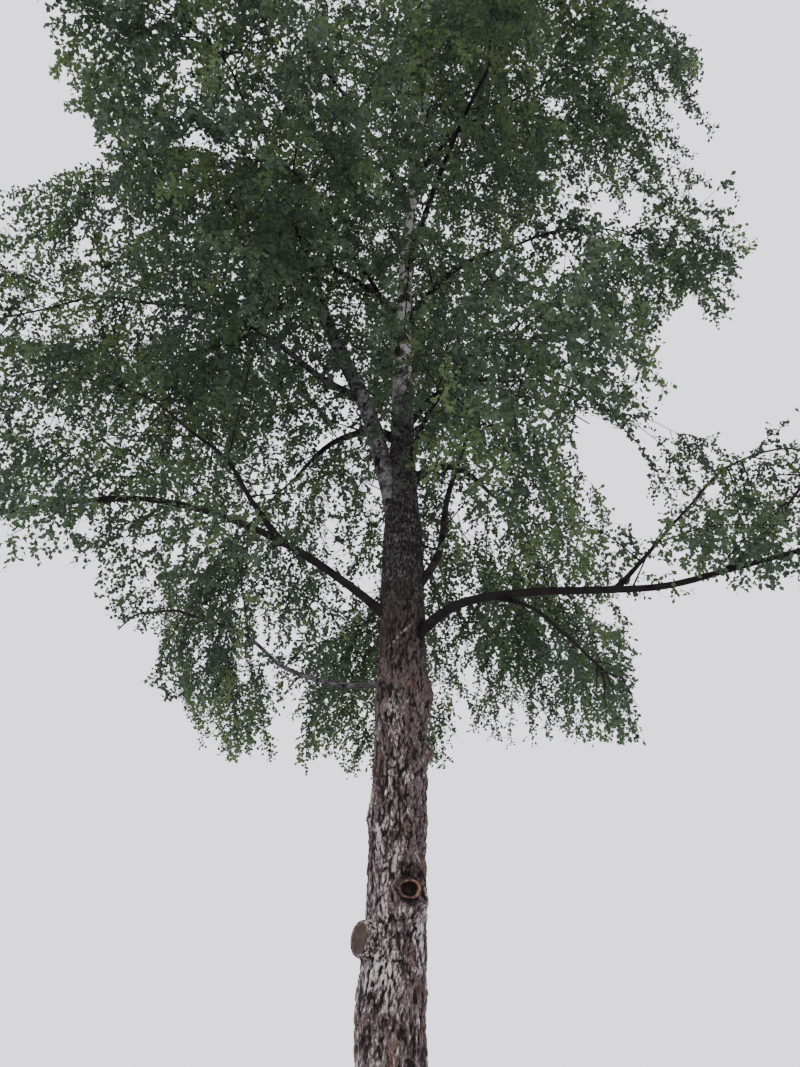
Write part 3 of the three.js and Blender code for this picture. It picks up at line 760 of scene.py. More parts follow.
def ring_faces(rows, columns, first=0):
    """The faces of a closed tube whose rings lie one after another."""
    faces = []
    for row in range(rows - 1):
        low = first + row * columns
        for k in range(columns):
            after = (k + 1) % columns
            faces.append((low + k, low + after, low + columns + after, low + columns + k))
    faces.append(tuple(first + k for k in reversed(range(columns))))
    faces.append(tuple(first + (rows - 1) * columns + k for k in range(columns)))
    return faces


def tube_rings(path, radii, columns):
    """Rings round a path, each carried on from the one before it without a twist."""
    ahead = unit(np.gradient(path, axis=0))
    side = np.array([1.0, 0.0, 0.0]) if abs(ahead[0][2]) > STEEP else UP
    turns = np.linspace(0, 2 * math.pi, columns, endpoint=False)[:, None]
    rings = []
    for point, direction, radius in zip(path, ahead, radii):
        side = unit(side - direction * np.dot(side, direction))
        across = np.cross(direction, side)
        rings.append(point + radius * (side * np.cos(turns) + across * np.sin(turns)))
    return np.vstack(rings)


# Nodes


class Field:
    """A node's output in a formula: arithmetic on it adds Math nodes."""

    def __init__(self, graph, socket):
        self.graph = graph
        self.socket = socket

    def math(self, operation, *values):
        return self.graph.add("ShaderNodeMath", {"operation": operation}, dict(enumerate(values)))

    def __add__(self, other):
        return self.math("ADD", self, other)

    def __radd__(self, other):
        return self.math("ADD", other, self)

    def __sub__(self, other):
        return self.math("SUBTRACT", self, other)

    def __rsub__(self, other):
        return self.math("SUBTRACT", other, self)

    def __mul__(self, other):
        return self.math("MULTIPLY", self, other)

    def __rmul__(self, other):
        return self.math("MULTIPLY", other, self)

    def __truediv__(self, other):
        return self.math("DIVIDE", self, other)

    def __rtruediv__(self, other):
        return self.math("DIVIDE", other, self)

    def absolute(self):
        return self.math("ABSOLUTE", self)

    def sine(self):
        return self.math("SINE", self)

    def larger(self, other):
        return self.math("MAXIMUM", self, other)

    def between(self, low, high):
        """0 below low and 1 above high, and smooth between them."""
        settings = {"interpolation_type": "SMOOTHSTEP"}
        return self.graph.add("ShaderNodeMapRange", settings, {0: self, 1: low, 2: high})


class Graph:
    """Adds nodes to a tree."""

    def __init__(self, tree):
        self.tree = tree

    def add(self, kind, settings=None, inputs=None, output=0):
        """One node: its settings are set first, and then the values or links of its sockets."""
        node = self.tree.nodes.new(kind)
        for key, value in (settings or {}).items():
            setattr(node, key, value)
        for key, value in (inputs or {}).items():
            if isinstance(value, Field):
                self.tree.links.new(value.socket, node.inputs[key])
            else:
                node.inputs[key].default_value = value
        return Field(self, node.outputs[output])

    def noise(self, place, scale, detail=3.0, roughness=0.55):
        values = {"Vector": place, "Scale": scale, "Detail": detail, "Roughness": roughness}
        return self.add("ShaderNodeTexNoise", None, values)

    def stretched(self, place, stretch):
        return self.add("ShaderNodeVectorMath", {"operation": "MULTIPLY"}, {0: place, 1: stretch})

    def bent(self, place, scale, reach):
        """A place pushed about by noise, so that a pattern on it winds."""
        values = {"Vector": place, "Scale": scale, "Detail": 4.0}
        push = self.stretched(self.add("ShaderNodeTexNoise", None, values, 1), (reach, reach, reach))
        return self.add("ShaderNodeVectorMath", {"operation": "ADD"}, {0: place, 1: push})

    def winding(self, place, scale, detail=3.0):
        """How far a place is from long winding lines."""
        return (self.noise(place, scale, detail) - 0.5).absolute()

    def edge_distance(self, place, scale):
        """How far a place is from the edge of its cell."""
        settings = {"feature": "DISTANCE_TO_EDGE"}
        return self.add("ShaderNodeTexVoronoi", settings, {"Vector": place, "Scale": scale})

    def patches(self, place, kind):
        """0 between the patches of a kind, and 1 on them."""
        tall, scale, detail, roughness, low, high = PATCHES[kind]
        return self.noise(self.stretched(place, (1, 1, tall)), scale, detail, roughness).between(low, high)

    def blend(self, factor, below, above):
        """A mix of two colours."""
        below, above = (each if isinstance(each, Field) else (*each, 1) for each in (below, above))
        return self.add("ShaderNodeMix", {"data_type": "RGBA"}, {0: factor, 6: below, 7: above}, 2)


def new_group(name, inputs):
    """A geometry node group with named inputs, and its graph."""
    tree = bpy.data.node_groups.new(name, "GeometryNodeTree")
    tree.interface.new_socket("Geometry", in_out="INPUT", socket_type="NodeSocketGeometry")
    for label, kind in inputs.items():
        tree.interface.new_socket(label, in_out="INPUT", socket_type=kind)
    tree.interface.new_socket("Geometry", in_out="OUTPUT", socket_type="NodeSocketGeometry")
    graph = Graph(tree)
    entry = tree.nodes.new("NodeGroupInput")
    sockets = {socket.name: Field(graph, socket) for socket in entry.outputs if socket.name}
    return tree, graph, sockets


def end_group(graph, geometry, material):
    """Every tree ends with its instances made real, and a material."""
    real = graph.add("GeometryNodeRealizeInstances", None, {0: geometry})
    painted = graph.add("GeometryNodeSetMaterial", None, {0: real, 2: material})
    graph.tree.links.new(painted.socket, graph.tree.nodes.new("NodeGroupOutput").inputs[0])


def grow_piece(mesh, tree, values):
    """Puts a tree on a mesh, and keeps what it makes as a plain mesh."""
    made = object_of(mesh)
    modifier = made.modifiers.new("growth", "NODES")
    modifier.node_group = tree
    for item in tree.interface.items_tree:
        if item.in_out == "INPUT" and item.name in values:
            modifier[item.identifier] = values[item.name]
    depsgraph = bpy.context.evaluated_depsgraph_get()
    result = bpy.data.meshes.new_from_object(made.evaluated_get(depsgraph))
    made.modifiers.remove(modifier)
    made.data = result
    result.materials.clear()
    result.materials.append(values["Material"])
    result.polygons.foreach_set("material_index", np.zeros(len(result.polygons), dtype=np.int32))
    bpy.data.meshes.remove(mesh)
    result.name = made.name
    return made


def bark_group():
    """Plates of bark of two sizes, parted by winding fissures and sunk into a trunk or bough."""
    inputs = {"Plate Width": "NodeSocketFloat", "Plate Height": "NodeSocketFloat", "Depth": "NodeSocketFloat",
              "Swell": "NodeSocketFloat", "Material": "NodeSocketMaterial"}
    tree, graph, given = new_group("Bark plates", inputs)
    place = graph.add("GeometryNodeInputPosition")
    wide, tall = 1 / given["Plate Width"], 1 / given["Plate Height"]
    cells = graph.add("ShaderNodeCombineXYZ", None, {0: wide, 1: wide, 2: tall})
    plates = graph.bent(graph.stretched(place, cells), 0.5, 1.1)
    furrow = graph.winding(plates, 0.42, 2.0).between(0.0, 0.09)
    cleft = graph.winding(plates, 1.1, 3.0).between(0.0, 0.08)
    breaks = graph.edge_distance(plates, 0.95).between(0.0, 0.17)
    lumps = graph.noise(plates, 1.2, 5.0, 0.65).between(0.3, 0.7)
    relief = furrow * 0.26 + cleft * 0.26 + breaks * 0.24 + lumps * 0.24
    named = {"data_type": "FLOAT"}
    rugged = graph.add("GeometryNodeInputNamedAttribute", named, {0: "rugged"})
    normal = graph.add("GeometryNodeInputNormal")
    level = graph.add("ShaderNodeVectorMath", {"operation": "MULTIPLY"}, {0: normal, 1: (1, 1, 0.6)})
    swell = (graph.noise(place, 2.6, 2.0) - 0.5) * given["Swell"]
    sink = ((relief - 0.85) * given["Depth"] + swell) * rugged
    offset = graph.add("ShaderNodeVectorMath", {"operation": "SCALE"}, {0: level, 3: sink})
    kept = graph.add("GeometryNodeStoreNamedAttribute", named, {0: given["Geometry"], 2: "relief", 3: relief})
    moved = graph.add("GeometryNodeSetPosition", None, {0: kept, 3: offset})
    end_group(graph, moved, given["Material"])
    return tree


def tube_group():
    """A closed tube along every line of a mesh, as thick as the line says."""
    inputs = {"Sides": "NodeSocketInt", "Material": "NodeSocketMaterial"}
    tree, graph, given = new_group("Twig tubes", inputs)
    curve = graph.add("GeometryNodeMeshToCurve", None, {0: given["Geometry"]})
    ring = graph.add("GeometryNodeCurvePrimitiveCircle", None, {0: given["Sides"], 4: 1.0})
    thick = graph.add("GeometryNodeInputNamedAttribute", {"data_type": "FLOAT"}, {0: "thick"})
    tube = graph.add("GeometryNodeCurveToMesh", None, {0: curve, 1: ring, 2: thick, 3: True})
    end_group(graph, tube, given["Material"])
    return tree


def scatter_group():
    """A copy of one small shape at every point, laid along and facing the ways that the point says."""
    inputs = {"Shape": "NodeSocketObject", "Material": "NodeSocketMaterial"}
    tree, graph, given = new_group("Copies on points", inputs)
    vector = {"data_type": "FLOAT_VECTOR"}
    along, face, size = (
        graph.add("GeometryNodeInputNamedAttribute", vector, {0: name}) for name in ("along", "face", "size")
    )
    laid = graph.add("FunctionNodeAlignRotationToVector", {"axis": "X"}, {2: along})
    settings = {"axis": "Z", "pivot_axis": "X"}
    rolled = graph.add("FunctionNodeAlignRotationToVector", settings, {0: laid, 2: face})
    shape = graph.add("GeometryNodeObjectInfo", None, {0: given["Shape"]}, 4)
    links = {0: given["Geometry"], 2: shape, 5: rolled, 6: size}
    copies = graph.add("GeometryNodeInstanceOnPoints", None, links)
    end_group(graph, copies, given["Material"])
    return tree


# Materials


def new_material(name):
    material = bpy.data.materials.new(name)
    material.use_nodes = True
    material.node_tree.nodes.clear()
    return material, Graph(material.node_tree)


def end_material(graph, shader):
    output = graph.tree.nodes.new("ShaderNodeOutputMaterial")
    graph.tree.links.new(shader.socket, output.inputs[0])


def bark_shader(graph, colour, roughness, height, strength, distance):
    bump = graph.add("ShaderNodeBump", None, {"Strength": strength, "Distance": distance, "Height": height})
    values = {"Base Color": colour, "Roughness": roughness, "Normal": bump, "Specular IOR Level": 0.15}
    return graph.add("ShaderNodeBsdfPrincipled", None, values)


def object_place(graph):
    return graph.add("ShaderNodeTexCoord", output=3)


def attribute_of(graph, name):
    return graph.add("ShaderNodeAttribute", {"attribute_name": name}, None, 2)


def bark_grain(graph, place):
    """The noises that the trunk's colours share: patches, streaks, winding cracks and level splits."""
    tall = graph.stretched(place, (1, 1, 0.4))
    wound = graph.bent(tall, 14.0, 0.03)
    patches = graph.noise(tall, 9.0, 5.0, 0.6)
    streaks = graph.noise(wound, 60.0, 5.0, 0.7)
    crack = graph.winding(wound, 17.0, 5.0).between(0.0, 0.035)
    split = graph.winding(graph.stretched(place, (1, 1, 1.5)), 15.0, 4.0).between(0.0, 0.02)
    return patches, streaks, crack, split


def old_bark(graph, look, place, grain, height, tint):
    """Fissured plates, dark, grey or rusty, with silver flakes and silver ridges; painted highlights on the
    plates that stand out, and painted shade in the fissures, cracks and splits.
    """
    patches, streaks, crack, split = grain
    relief = attribute_of(graph, "relief")
    weathered = (streaks * 0.55 + patches * 0.45).between(0.38, 0.62)
    plate = graph.blend(weathered, look.plate_dark, look.plate_grey)
    plate = graph.blend(graph.patches(place, "rust") * 0.75, plate, look.rust)
    region = graph.noise(graph.stretched(place, (1, 1, 0.7)), 3.4, 3.0, 0.5)
    # The flakes are the bark's own silver, and the share from relief also paints highlights on the plates
    # that stand out
    pale = streaks * 0.75 + patches * 0.4 + region * 0.4 + tint * 0.13 + relief * 0.16
    pale = pale - height.between(*FEWER_FLAKES) * 0.12
    plate = graph.blend(pale.between(0.92, 1.0), plate, look.silver)
    ridge = tint.between(*RIDGE_TINT)
    plate = graph.blend(ridge * streaks.between(0.36, 0.52) * 0.75, plate, look.silver)
    # Low relief, cracks and splits take the near black, as painted shade at the bottom of the fissures
    unshaded_plate = relief.between(0.34, 0.68) * (0.2 + crack * 0.65 + split * 0.15)
    return graph.blend(unshaded_plate, look.dark_bark_and_fissure_shade, plate)


def middle_bark(graph, look, place, streaks):
    """Dark grey bark with level bands, above the fork; its browner streaks take the boughs' brown, with its
    painted shade.
    """
    colour = graph.blend(streaks.between(0.45, 0.65), look.bough_brown_and_painted_shade, look.middle_grey)
    marks = (graph.patches(place, "lenticels") * 0.8).larger(graph.patches(place, "bands") * 0.65)
    return graph.blend(marks, colour, look.dark_bark_and_fissure_shade)


def young_bark(graph, look, place, streaks):
    """Smooth white bark with dark lenticels, peeled in places."""
    colour = graph.blend(graph.noise(place, 22.0).between(0.3, 0.75), look.white, look.cream)
    dark = graph.blend(streaks.between(0.4, 0.6), look.plate_dark, look.dark_bark_and_fissure_shade)
    marks = (graph.patches(place, "lenticels") * 0.85).larger(graph.patches(place, "peeled"))
    return graph.blend(marks, colour, dark)


def trunk_material(look):
    """Fissured brown and silver plates below, with painted highlights on them and painted shade in their
    fissures and cavities, dark banded bark at the fork, and peeling white bark above.
    """
    material, graph = new_material("fissured_bark")
    place = object_place(graph)
    tint = attribute_of(graph, "tint")
    height = graph.add("ShaderNodeSeparateXYZ", None, {0: place}, 2)
    grain = bark_grain(graph, place)
    patches, streaks, crack, split = grain
    # One bark gives way to the next in patches, up to this far above or below its height
    uneven = height + patches * (2 * PATCHY) - PATCHY
    colour = old_bark(graph, look, place, grain, height, tint)
    darker = uneven.between(*DARKER) * 0.55 * (1 - tint.between(*RIDGE_TINT))
    colour = graph.blend(darker, colour, look.dark_bark_and_fissure_shade)
    colour = graph.blend(uneven.between(*MIDDLE_BARK), colour, middle_bark(graph, look, place, streaks))
    colour = graph.blend(uneven.between(*YOUNG_BARK), colour, young_bark(graph, look, place, streaks))
    # Marks with a low tint and the middles of the knots are painted near black, as the shade of a cavity
    colour = graph.blend((0 - tint).between(*HOLLOW_SHADE_TINT), colour, look.hollow_in_painted_shade)
    roughness = 0.92 - uneven.between(*SMOOTH_BARK) * 0.25
    bump = crack * 0.45 + split * 0.15 + streaks * 0.4
    end_material(graph, bark_shader(graph, colour, roughness, bump, 0.9, 0.012))
    return material


def bough_material(look):
    """Thin dark bark, darkened further with painted shade, with painted shade in its fissures; paler and
    greyer on the second stem.
    """
    material, graph = new_material("thin_bark")
    place = object_place(graph)
    relief = attribute_of(graph, "relief")
    pale = attribute_of(graph, "tint")
    patches = graph.noise(place, 8.0, 5.0)
    fine = graph.noise(place, 60.0, 4.0, 0.7)
    dark = graph.blend(patches.between(0.35, 0.65), look.bough_dark_and_painted_shade, look.bough_brown_and_painted_shade)
    dark = graph.blend(fine.between(0.6, 0.72) * 0.22, dark, look.plate_grey)
    white = graph.blend(patches.between(0.45, 0.6), look.white, look.middle_grey)
    colour = graph.blend(pale * patches.between(0.38, 0.55), dark, white)
    colour = graph.blend(graph.patches(place, "bands") * 0.7, colour, look.dark_bark_and_fissure_shade)
    # Painted shade fills the low relief of the fissures
    colour = graph.blend(relief.between(0.25, 0.5), look.dark_bark_and_fissure_shade, colour)
    end_material(graph, bark_shader(graph, colour, 0.85, fine, 0.5, 0.004))
    return material


def sawn_material(look):
    """A weathered saw cut: growth rings, a few drying cracks and a paler rim."""
    material, graph = new_material("sawn_wood")
    out = attribute_of(graph, "out")
    turn = attribute_of(graph, "turn")
    place = object_place(graph)
    wobble = graph.noise(place, 9.0, 3.0)
    rings = (out * 46.0 + wobble * 9.0).sine()
    cracks = (turn * 5.0 + wobble * 4.0).sine().between(0.965, 1.0)
    colour = graph.blend(rings * 0.14 + wobble, look.cut_dark, look.cut_pale)
    stains = graph.noise(place, 16.0, 4.0).between(0.42, 0.68)
    colour = graph.blend(stains * 0.7, colour, look.cut_dark)
    colour = graph.blend(cracks * out.between(0.08, 0.3) * 0.9, colour, look.dark_bark_and_fissure_shade)
    colour = graph.blend(out.between(0.9, 0.97) * 0.45, colour, look.silver)
    end_material(graph, bark_shader(graph, colour, 0.85, rings + graph.noise(place, 90.0) * 2, 0.5, 0.003))
    return material


def callus_material(look):
    """Red-brown healing wood, painted lighter on one side of the ring, round a hole painted almost black with
    its shade.
    """
    material, graph = new_material("callus_wood")
    place = object_place(graph)
    deep = attribute_of(graph, "out")
    turn = attribute_of(graph, "turn")
    folds = graph.noise(graph.stretched(place, (1, 1, 0.6)), 34.0, 5.0, 0.65)
    # One side of the ring is painted lighter, as painted light
    lit = folds + turn.between(0.4, 2.6) * 0.14
    colour = graph.blend(lit.between(0.46, 0.68), look.callus_dark, look.callus_red)
    bark = graph.blend(folds.between(0.4, 0.65), look.dark_bark_and_fissure_shade, look.plate_dark)
    colour = graph.blend(deep.between(0.34, 0.44), bark, colour)
    # The bottom of the hole is painted near black with its shade
    inside = graph.blend(folds.between(0.5, 0.7), look.hollow_in_painted_shade, look.callus_dark)
    colour = graph.blend((deep + folds * 0.2).between(0.68, 0.8), colour, inside)
    end_material(graph, bark_shader(graph, colour, 0.9, folds, 0.8, 0.01))
    return material


def twig_material(look):
    material, graph = new_material("twig_skin")
    patches = graph.noise(object_place(graph), 12.0, 3.0)
    colour = graph.blend(patches.between(0.35, 0.7), look.twig_dark, look.twig_red)
    end_material(graph, bark_shader(graph, colour, 0.7, patches, 0.2, 0.002))
    return material


def leaf_material(name, colour, look):
    """Thin leaves: what the sky sends through one makes up a part of what is seen."""
    material, graph = new_material(name)
    values = {"Base Color": (*colour, 1), "Roughness": look.leaf_roughness, "Specular IOR Level": 0.3}
    front = graph.add("ShaderNodeBsdfPrincipled", None, values)
    lit = [min(1, part * gain) for part, gain in zip(colour, LEAF_GLOW)]
    through = graph.add("ShaderNodeBsdfTranslucent", None, {"Color": (*lit, 1)})
    end_material(graph, graph.add("ShaderNodeMixShader", None, {0: look.leaf_thinness, 1: front, 2: through}))
    return material


# Trunk


def trunk_rows():
    heights = []
    for (low, step), (high, _) in zip(TRUNK_ROWS, TRUNK_ROWS[1:] + [(TRUNK_TOP, 0)]):
        heights += list(np.arange(low, high - step / 2, step))
    return np.array(heights + [TRUNK_TOP])


def trunk_marks(tall, turn, radius):
    """How far old knots, ribs and hollows raise or sink the trunk, and their tint: pale bark, and painted
    shade on the dark ones.
    """
    rise, tint = np.zeros_like(tall), np.zeros_like(tall)

    def round_from(heading):
        off = (np.degrees(turn) - heading + 180) % 360 - 180
        return np.radians(off) * radius

    for height, heading, lean, half_tall, half_wide, out, shade in TRUNK_MARKS:
        up = tall - height
        across = round_from(heading) - up * math.tan(math.radians(lean))
        shape = np.exp(-((up / half_tall) ** 2) - (across / half_wide) ** 2)
        rise += out * shape
        tint += shade * shape
    for height, heading, size, out, pale in EYE_KNOTS:
        away = np.hypot((tall - height) / EYE_SHAPE["tall"], round_from(heading))
        rise += out * np.exp(-(((away - size) / (EYE_SHAPE["ring"] * size)) ** 2))
        tint -= EYE_SHAPE["dark"] * np.exp(-((away / (EYE_SHAPE["pupil"] * size)) ** 2))
        tint += pale * np.exp(-(((away - size) / (EYE_SHAPE["rim"] * size)) ** 2))
    return rise, tint


def make_trunk_mesh(columns):
    heights = trunk_rows()
    turns = np.linspace(0, 2 * math.pi, columns, endpoint=False)
    tall, turn = np.meshgrid(heights, turns, indexing="ij")
    radius = trunk_radius(tall, turn)
    rise, tint = trunk_marks(tall, turn, radius)
    points = trunk_centre(tall)
    points[..., 0] += (radius + rise) * np.cos(turn)
    points[..., 1] += (radius + rise) * np.sin(turn)
    mesh = mesh_of("trunk_bark", points.reshape(-1, 3), ring_faces(len(heights), columns))
    rugged = np.interp(tall.ravel(), RUGGED["heights"], RUGGED["shares"])
    set_values(mesh, "rugged", rugged * np.clip(radius.ravel() / RUGGED["full_radius"], 0, 1))
    set_values(mesh, "tint", tint.ravel())
    return mesh


def plate_values(look, depth, swell):
    """What the group for bark plates is given on the trunk and its stub."""
    return {
        "Plate Width": look.plate_width, "Plate Height": look.plate_height, "Depth": depth, "Swell": swell,
        "Material": trunk_material(look),
    }


# Old pruning scars


def lathe(name, scar, profile):
    """Turns a profile of (distance along, radius, value) round the axis of a scar, a little out of round."""
    columns = scar["columns"]
    ahead = compass(scar["heading"], scar["rise"])
    side = level_side(ahead)
    across = np.cross(side, ahead)
    start = trunk_centre(np.float64(scar["height"]))
    turns = np.linspace(0, 2 * math.pi, columns, endpoint=False)
    waves = sum(share * np.sin(count * turns + phase) for count, phase, share in OUT_OF_ROUND)
    uneven = 1 + scar["wobble"] * waves
    rings, values = [], []
    for along, radius, value in profile:
        spokes = np.outer(np.cos(turns), side) + np.outer(scar["tall"] * np.sin(turns), across)
        rings.append(start + ahead * along + spokes * (radius * uneven)[:, None])
        values.append(np.full(columns, value))
    mesh = mesh_of(name, np.vstack(rings), ring_faces(len(profile), columns))
    set_values(mesh, "out", np.hstack(values))
    set_values(mesh, "turn", np.tile(np.minimum(turns, 2 * math.pi - turns), len(profile)))
    return mesh


def eased(profile, parts):
    """The same profile with more rings, evenly spaced between its corners."""
    places = np.linspace(0, len(profile) - 1, (len(profile) - 1) * parts + 1)
    return np.stack([np.interp(places, range(len(profile)), column) for column in zip(*profile)], axis=1)


def make_scars(look):
    """The sawn stub's bark and its cut face, and the callus ring of the knot with a hole in it."""
    side = eased(STUB_SIDE, SCAR_RINGS["stub_side"])
    bark = lathe("stub_bark", STUB, side)
    rugged = np.interp(side[:, 0], *zip(*STUB_RUGGED))
    set_values(bark, "rugged", np.repeat(rugged, STUB["columns"]))
    set_values(bark, "tint", np.full(len(side) * STUB["columns"], STUB_TINT))
    bark = grow_piece(bark, bark_group(), plate_values(look, look.fissure_depth * STUB_DEPTH, 0.0))
    face = object_of(lathe("stub_face", STUB, eased(STUB_FACE, SCAR_RINGS["stub_face"])))
    face.data.materials.append(sawn_material(look))
    ring = object_of(lathe("knot_callus", KNOT, eased(KNOT_RING, SCAR_RINGS["knot_ring"])))
    ring.data.materials.append(callus_material(look))
    return [bark, face, ring]


# Boughs


def make_bough_mesh(limbs, columns):
    points, faces, rugged, pale = [], [], [], []
    first = 0
    for name, limb in limbs.items():
        path = rounded(limb["path"], ROUNDING["bough"])
        radii = limb_radius(limb, np.linspace(0, 1, len(path)))
        faces += ring_faces(len(path), columns, first)
        first += len(path) * columns
        points.append(tube_rings(path, radii, columns))
        rugged.append(np.repeat(radii / BOUGH_RUGGED_RADIUS, columns))
        pale.append(np.full(len(path) * columns, PALE_LIMBS.get(name, 0.0)))
    mesh = mesh_of("bough_bark", np.vstack(points), faces)
    set_values(mesh, "rugged", np.hstack(rugged))
    set_values(mesh, "tint", np.hstack(pale))
    return mesh


# Twigs and leaves


def line_mesh(name, paths, radii):
    """A mesh of bare lines, each with its own thickness at each point."""
    edges, first = [], 0
    for path in paths:
        edges += [(first + k, first + k + 1) for k in range(len(path) - 1)]
        first += len(path)
    mesh = mesh_of(name, np.vstack(paths), edges=edges)
    set_values(mesh, "thick", np.hstack(radii))
    return mesh


def point_mesh(name, places, along, face, size):
    mesh = mesh_of(name, places)
    for key, values in (("along", along), ("face", face), ("size", size)):
        set_values(mesh, key, values)
    return mesh


def shoot_shape():
    """A slender spike along +X, three-sided and closed."""
    turns = [0, 2 * math.pi / 3, 4 * math.pi / 3]
    root = [(0, math.cos(turn), math.sin(turn)) for turn in turns]
    return object_of(mesh_of("shoot_shape", [*root, (1, 0, 0)], [(0, 2, 1), (0, 1, 3), (1, 2, 3), (2, 0, 3)]))


def leaf_shape():
    """A broad leaf along +X, folded a little along its midrib, that narrows to its stalk."""
    at, wide, fold = LEAF_SHAPE["widest_at"], LEAF_SHAPE["half_width"], LEAF_SHAPE["fold"]
    points = [(0, 0, 0), (1, 0, 0), (at, wide, fold), (at, -wide, fold)]
    return object_of(mesh_of("leaf_shape", points, [(0, 1, 2), (0, 3, 1)]))


def leafy_lines(sprays, roots, tips, spray_of):
    """Every straight piece that bears leaves: its two ends and its spray."""
    axes = np.array([spray["axis"] for spray in sprays])
    numbers = np.arange(len(sprays))
    starts = np.vstack([roots, axes[:, 0], axes[:, 1]])
    ends = np.vstack([tips, axes[:, 1], axes[:, 2]])
    return starts, ends, np.hstack([spray_of, numbers, numbers])


def place_leaves(starts, ends, spray_of, every, length, random):
    """Leaves in turn to either side of each line, hanging by their tips, and smaller low on the tree."""
    span = ends - starts
    sizes = np.linalg.norm(span, axis=1)
    counts = np.maximum(1, np.round(sizes / every)).astype(int)
    line = np.repeat(np.arange(len(starts)), counts)
    order = np.arange(len(line)) - np.repeat(np.cumsum(counts) - counts, counts)
    share = (order + 0.5 + random.uniform(-LEAF["slip"], LEAF["slip"], len(line))) / counts[line]
    along = unit(span)[line]
    side = unit(np.cross(along, UP) + 1e-6)
    side *= np.where(order % 2, 1, -1)[:, None]
    ahead = along * LEAF["along"] + side * LEAF["aside"] - UP * LEAF["hang"]
    ahead = unit(ahead + random.normal(0, LEAF["loose"], ahead.shape))
    face = unit(UP * LEAF["face_up"] + random.normal(0, LEAF["tumble"], ahead.shape))
    places = starts[line] + span[line] * share[:, None]
    grown = np.interp(places[:, 2], (LEAF["small_to"], LEAF["full_from"]), (LEAF["small"], 1))
    size = length * grown * random.uniform(*LEAF["sizes"], len(line))
    return places, ahead, face, size, spray_of[line]


def greens_of(sprays, random):
    """Which green each spray takes: dealt out by chance, in drifts some metres wide that paint patches of
    light and shade.
    """
    places = np.array([spray["axis"][1] for spray in sprays])
    # Lighter and darker greens fall in drifts, painting patches of light and shade
    light_and_shade = sum(np.sin(places @ wave + phase) for wave, phase in LIGHT_AND_SHADE_DRIFTS)
    order = np.argsort(np.argsort(LIGHT_AND_SHADE_SHARE * light_and_shade + random.normal(0, 1, len(sprays)))) / len(sprays)
    shares = np.cumsum([share for _, share in LEAF_GREENS.values()])
    return np.minimum(np.searchsorted(shares / shares[-1], order), len(shares) - 1)


# What a user may change


def colour_setting(label, text, value):
    return bpy.props.FloatVectorProperty(
        name=label, description=text, default=value, size=3, min=0, max=1, subtype="COLOR"
    )


def length_setting(label, text, value):
    return bpy.props.FloatProperty(name=label, description=text, default=value, unit="LENGTH")


def share_setting(label, text, value):
    return bpy.props.FloatProperty(
        name=label, description=text, default=value, min=0, max=1, subtype="FACTOR"
    )


class BirchBarkLook(bpy.types.PropertyGroup):
    trunk_columns: bpy.props.IntProperty(
        name="Trunk columns", description="Faces round the trunk", default=180, min=24, max=200
    )
    bough_columns: bpy.props.IntProperty(
        name="Bough columns", description="Faces round a bough", default=16, min=6, max=32
    )
    plate_width: length_setting("Plate width", "Width of a plate of the trunk's bark", 0.04)
    plate_height: length_setting("Plate height", "Height of a plate of the trunk's bark", 0.11)
    fissure_depth: length_setting("Fissure depth", "How far the fissures sink", 0.032)
    swell: length_setting("Swell", "How far the trunk is out of round", 0.05)
    plate_dark: colour_setting("Dark plates", "The dark brown of old bark", (0.060, 0.042, 0.037))
    plate_grey: colour_setting("Grey plates", "The grey of weathered bark", (0.182, 0.144, 0.132))
    # Silver is the pale flakes and ridges of the old bark, and it also paints highlights on the plates that
    # stand out
    silver: colour_setting("Silver", "Pale flakes on the old bark", (0.42, 0.37, 0.355))
    rust: colour_setting("Rust", "The red-brown inner bark", (0.120, 0.060, 0.046))
    # This near black is the dark of lenticels, bands, drying cracks and the darker bark at the fork, and it
    # also paints the shade at the bottom of the fissures
    dark_bark_and_fissure_shade: colour_setting("Fissures", "The bottom of a fissure", (0.014, 0.011, 0.010))
    middle_grey: colour_setting("Middle bark", "The dark grey bark above the fork", (0.130, 0.126, 0.124))
    white: colour_setting("White bark", "The young bark of the upper stem", (0.46, 0.45, 0.44))
    cream: colour_setting("Cream bark", "The warmer patches of the young bark", (0.30, 0.275, 0.25))
    # Both bough colours are darker than the bark itself, with painted shade in them
    bough_dark_and_painted_shade: colour_setting("Dark boughs", "The darkest bark of the boughs", (0.005, 0.004, 0.004))
    bough_brown_and_painted_shade: colour_setting("Brown boughs", "The browner bark of the boughs", (0.016, 0.0125, 0.0115))
    twig_dark: colour_setting("Dark twigs", "The dark bark of the twigs", (0.012, 0.010, 0.009))
    twig_red: colour_setting("Red twigs", "The red-brown bark of the twigs", (0.030, 0.019, 0.016))
    cut_pale: colour_setting("Pale cut", "The pale wood of the saw cut", (0.092, 0.062, 0.046))
    cut_dark: colour_setting("Dark cut", "The weathered wood of the saw cut", (0.034, 0.023, 0.019))
    callus_red: colour_setting("Callus", "The red-brown healing wood", (0.24, 0.125, 0.088))
    callus_dark: colour_setting("Dark callus", "The folds of the healing wood", (0.045, 0.024, 0.020))
    # This near black paints the shade inside cavities, grooves and the knot's hole, and the dark middles of
    # old knots
    hollow_in_painted_shade: colour_setting("Hollow", "The inside of a hollow", (0.012, 0.009, 0.008))


class BirchLeafLook(bpy.types.PropertyGroup):
    leaf_length: length_setting("Leaf length", "Length of a leaf with its stalk", 0.064)
    leaf_spacing: length_setting("Leaf spacing", "Distance from leaf to leaf on a shoot", 0.025)
    leaf_roughness: share_setting("Roughness", "Roughness of a leaf", 0.5)
    leaf_thinness: share_setting("Thinness", "Share of light seen through a leaf", 0.46)


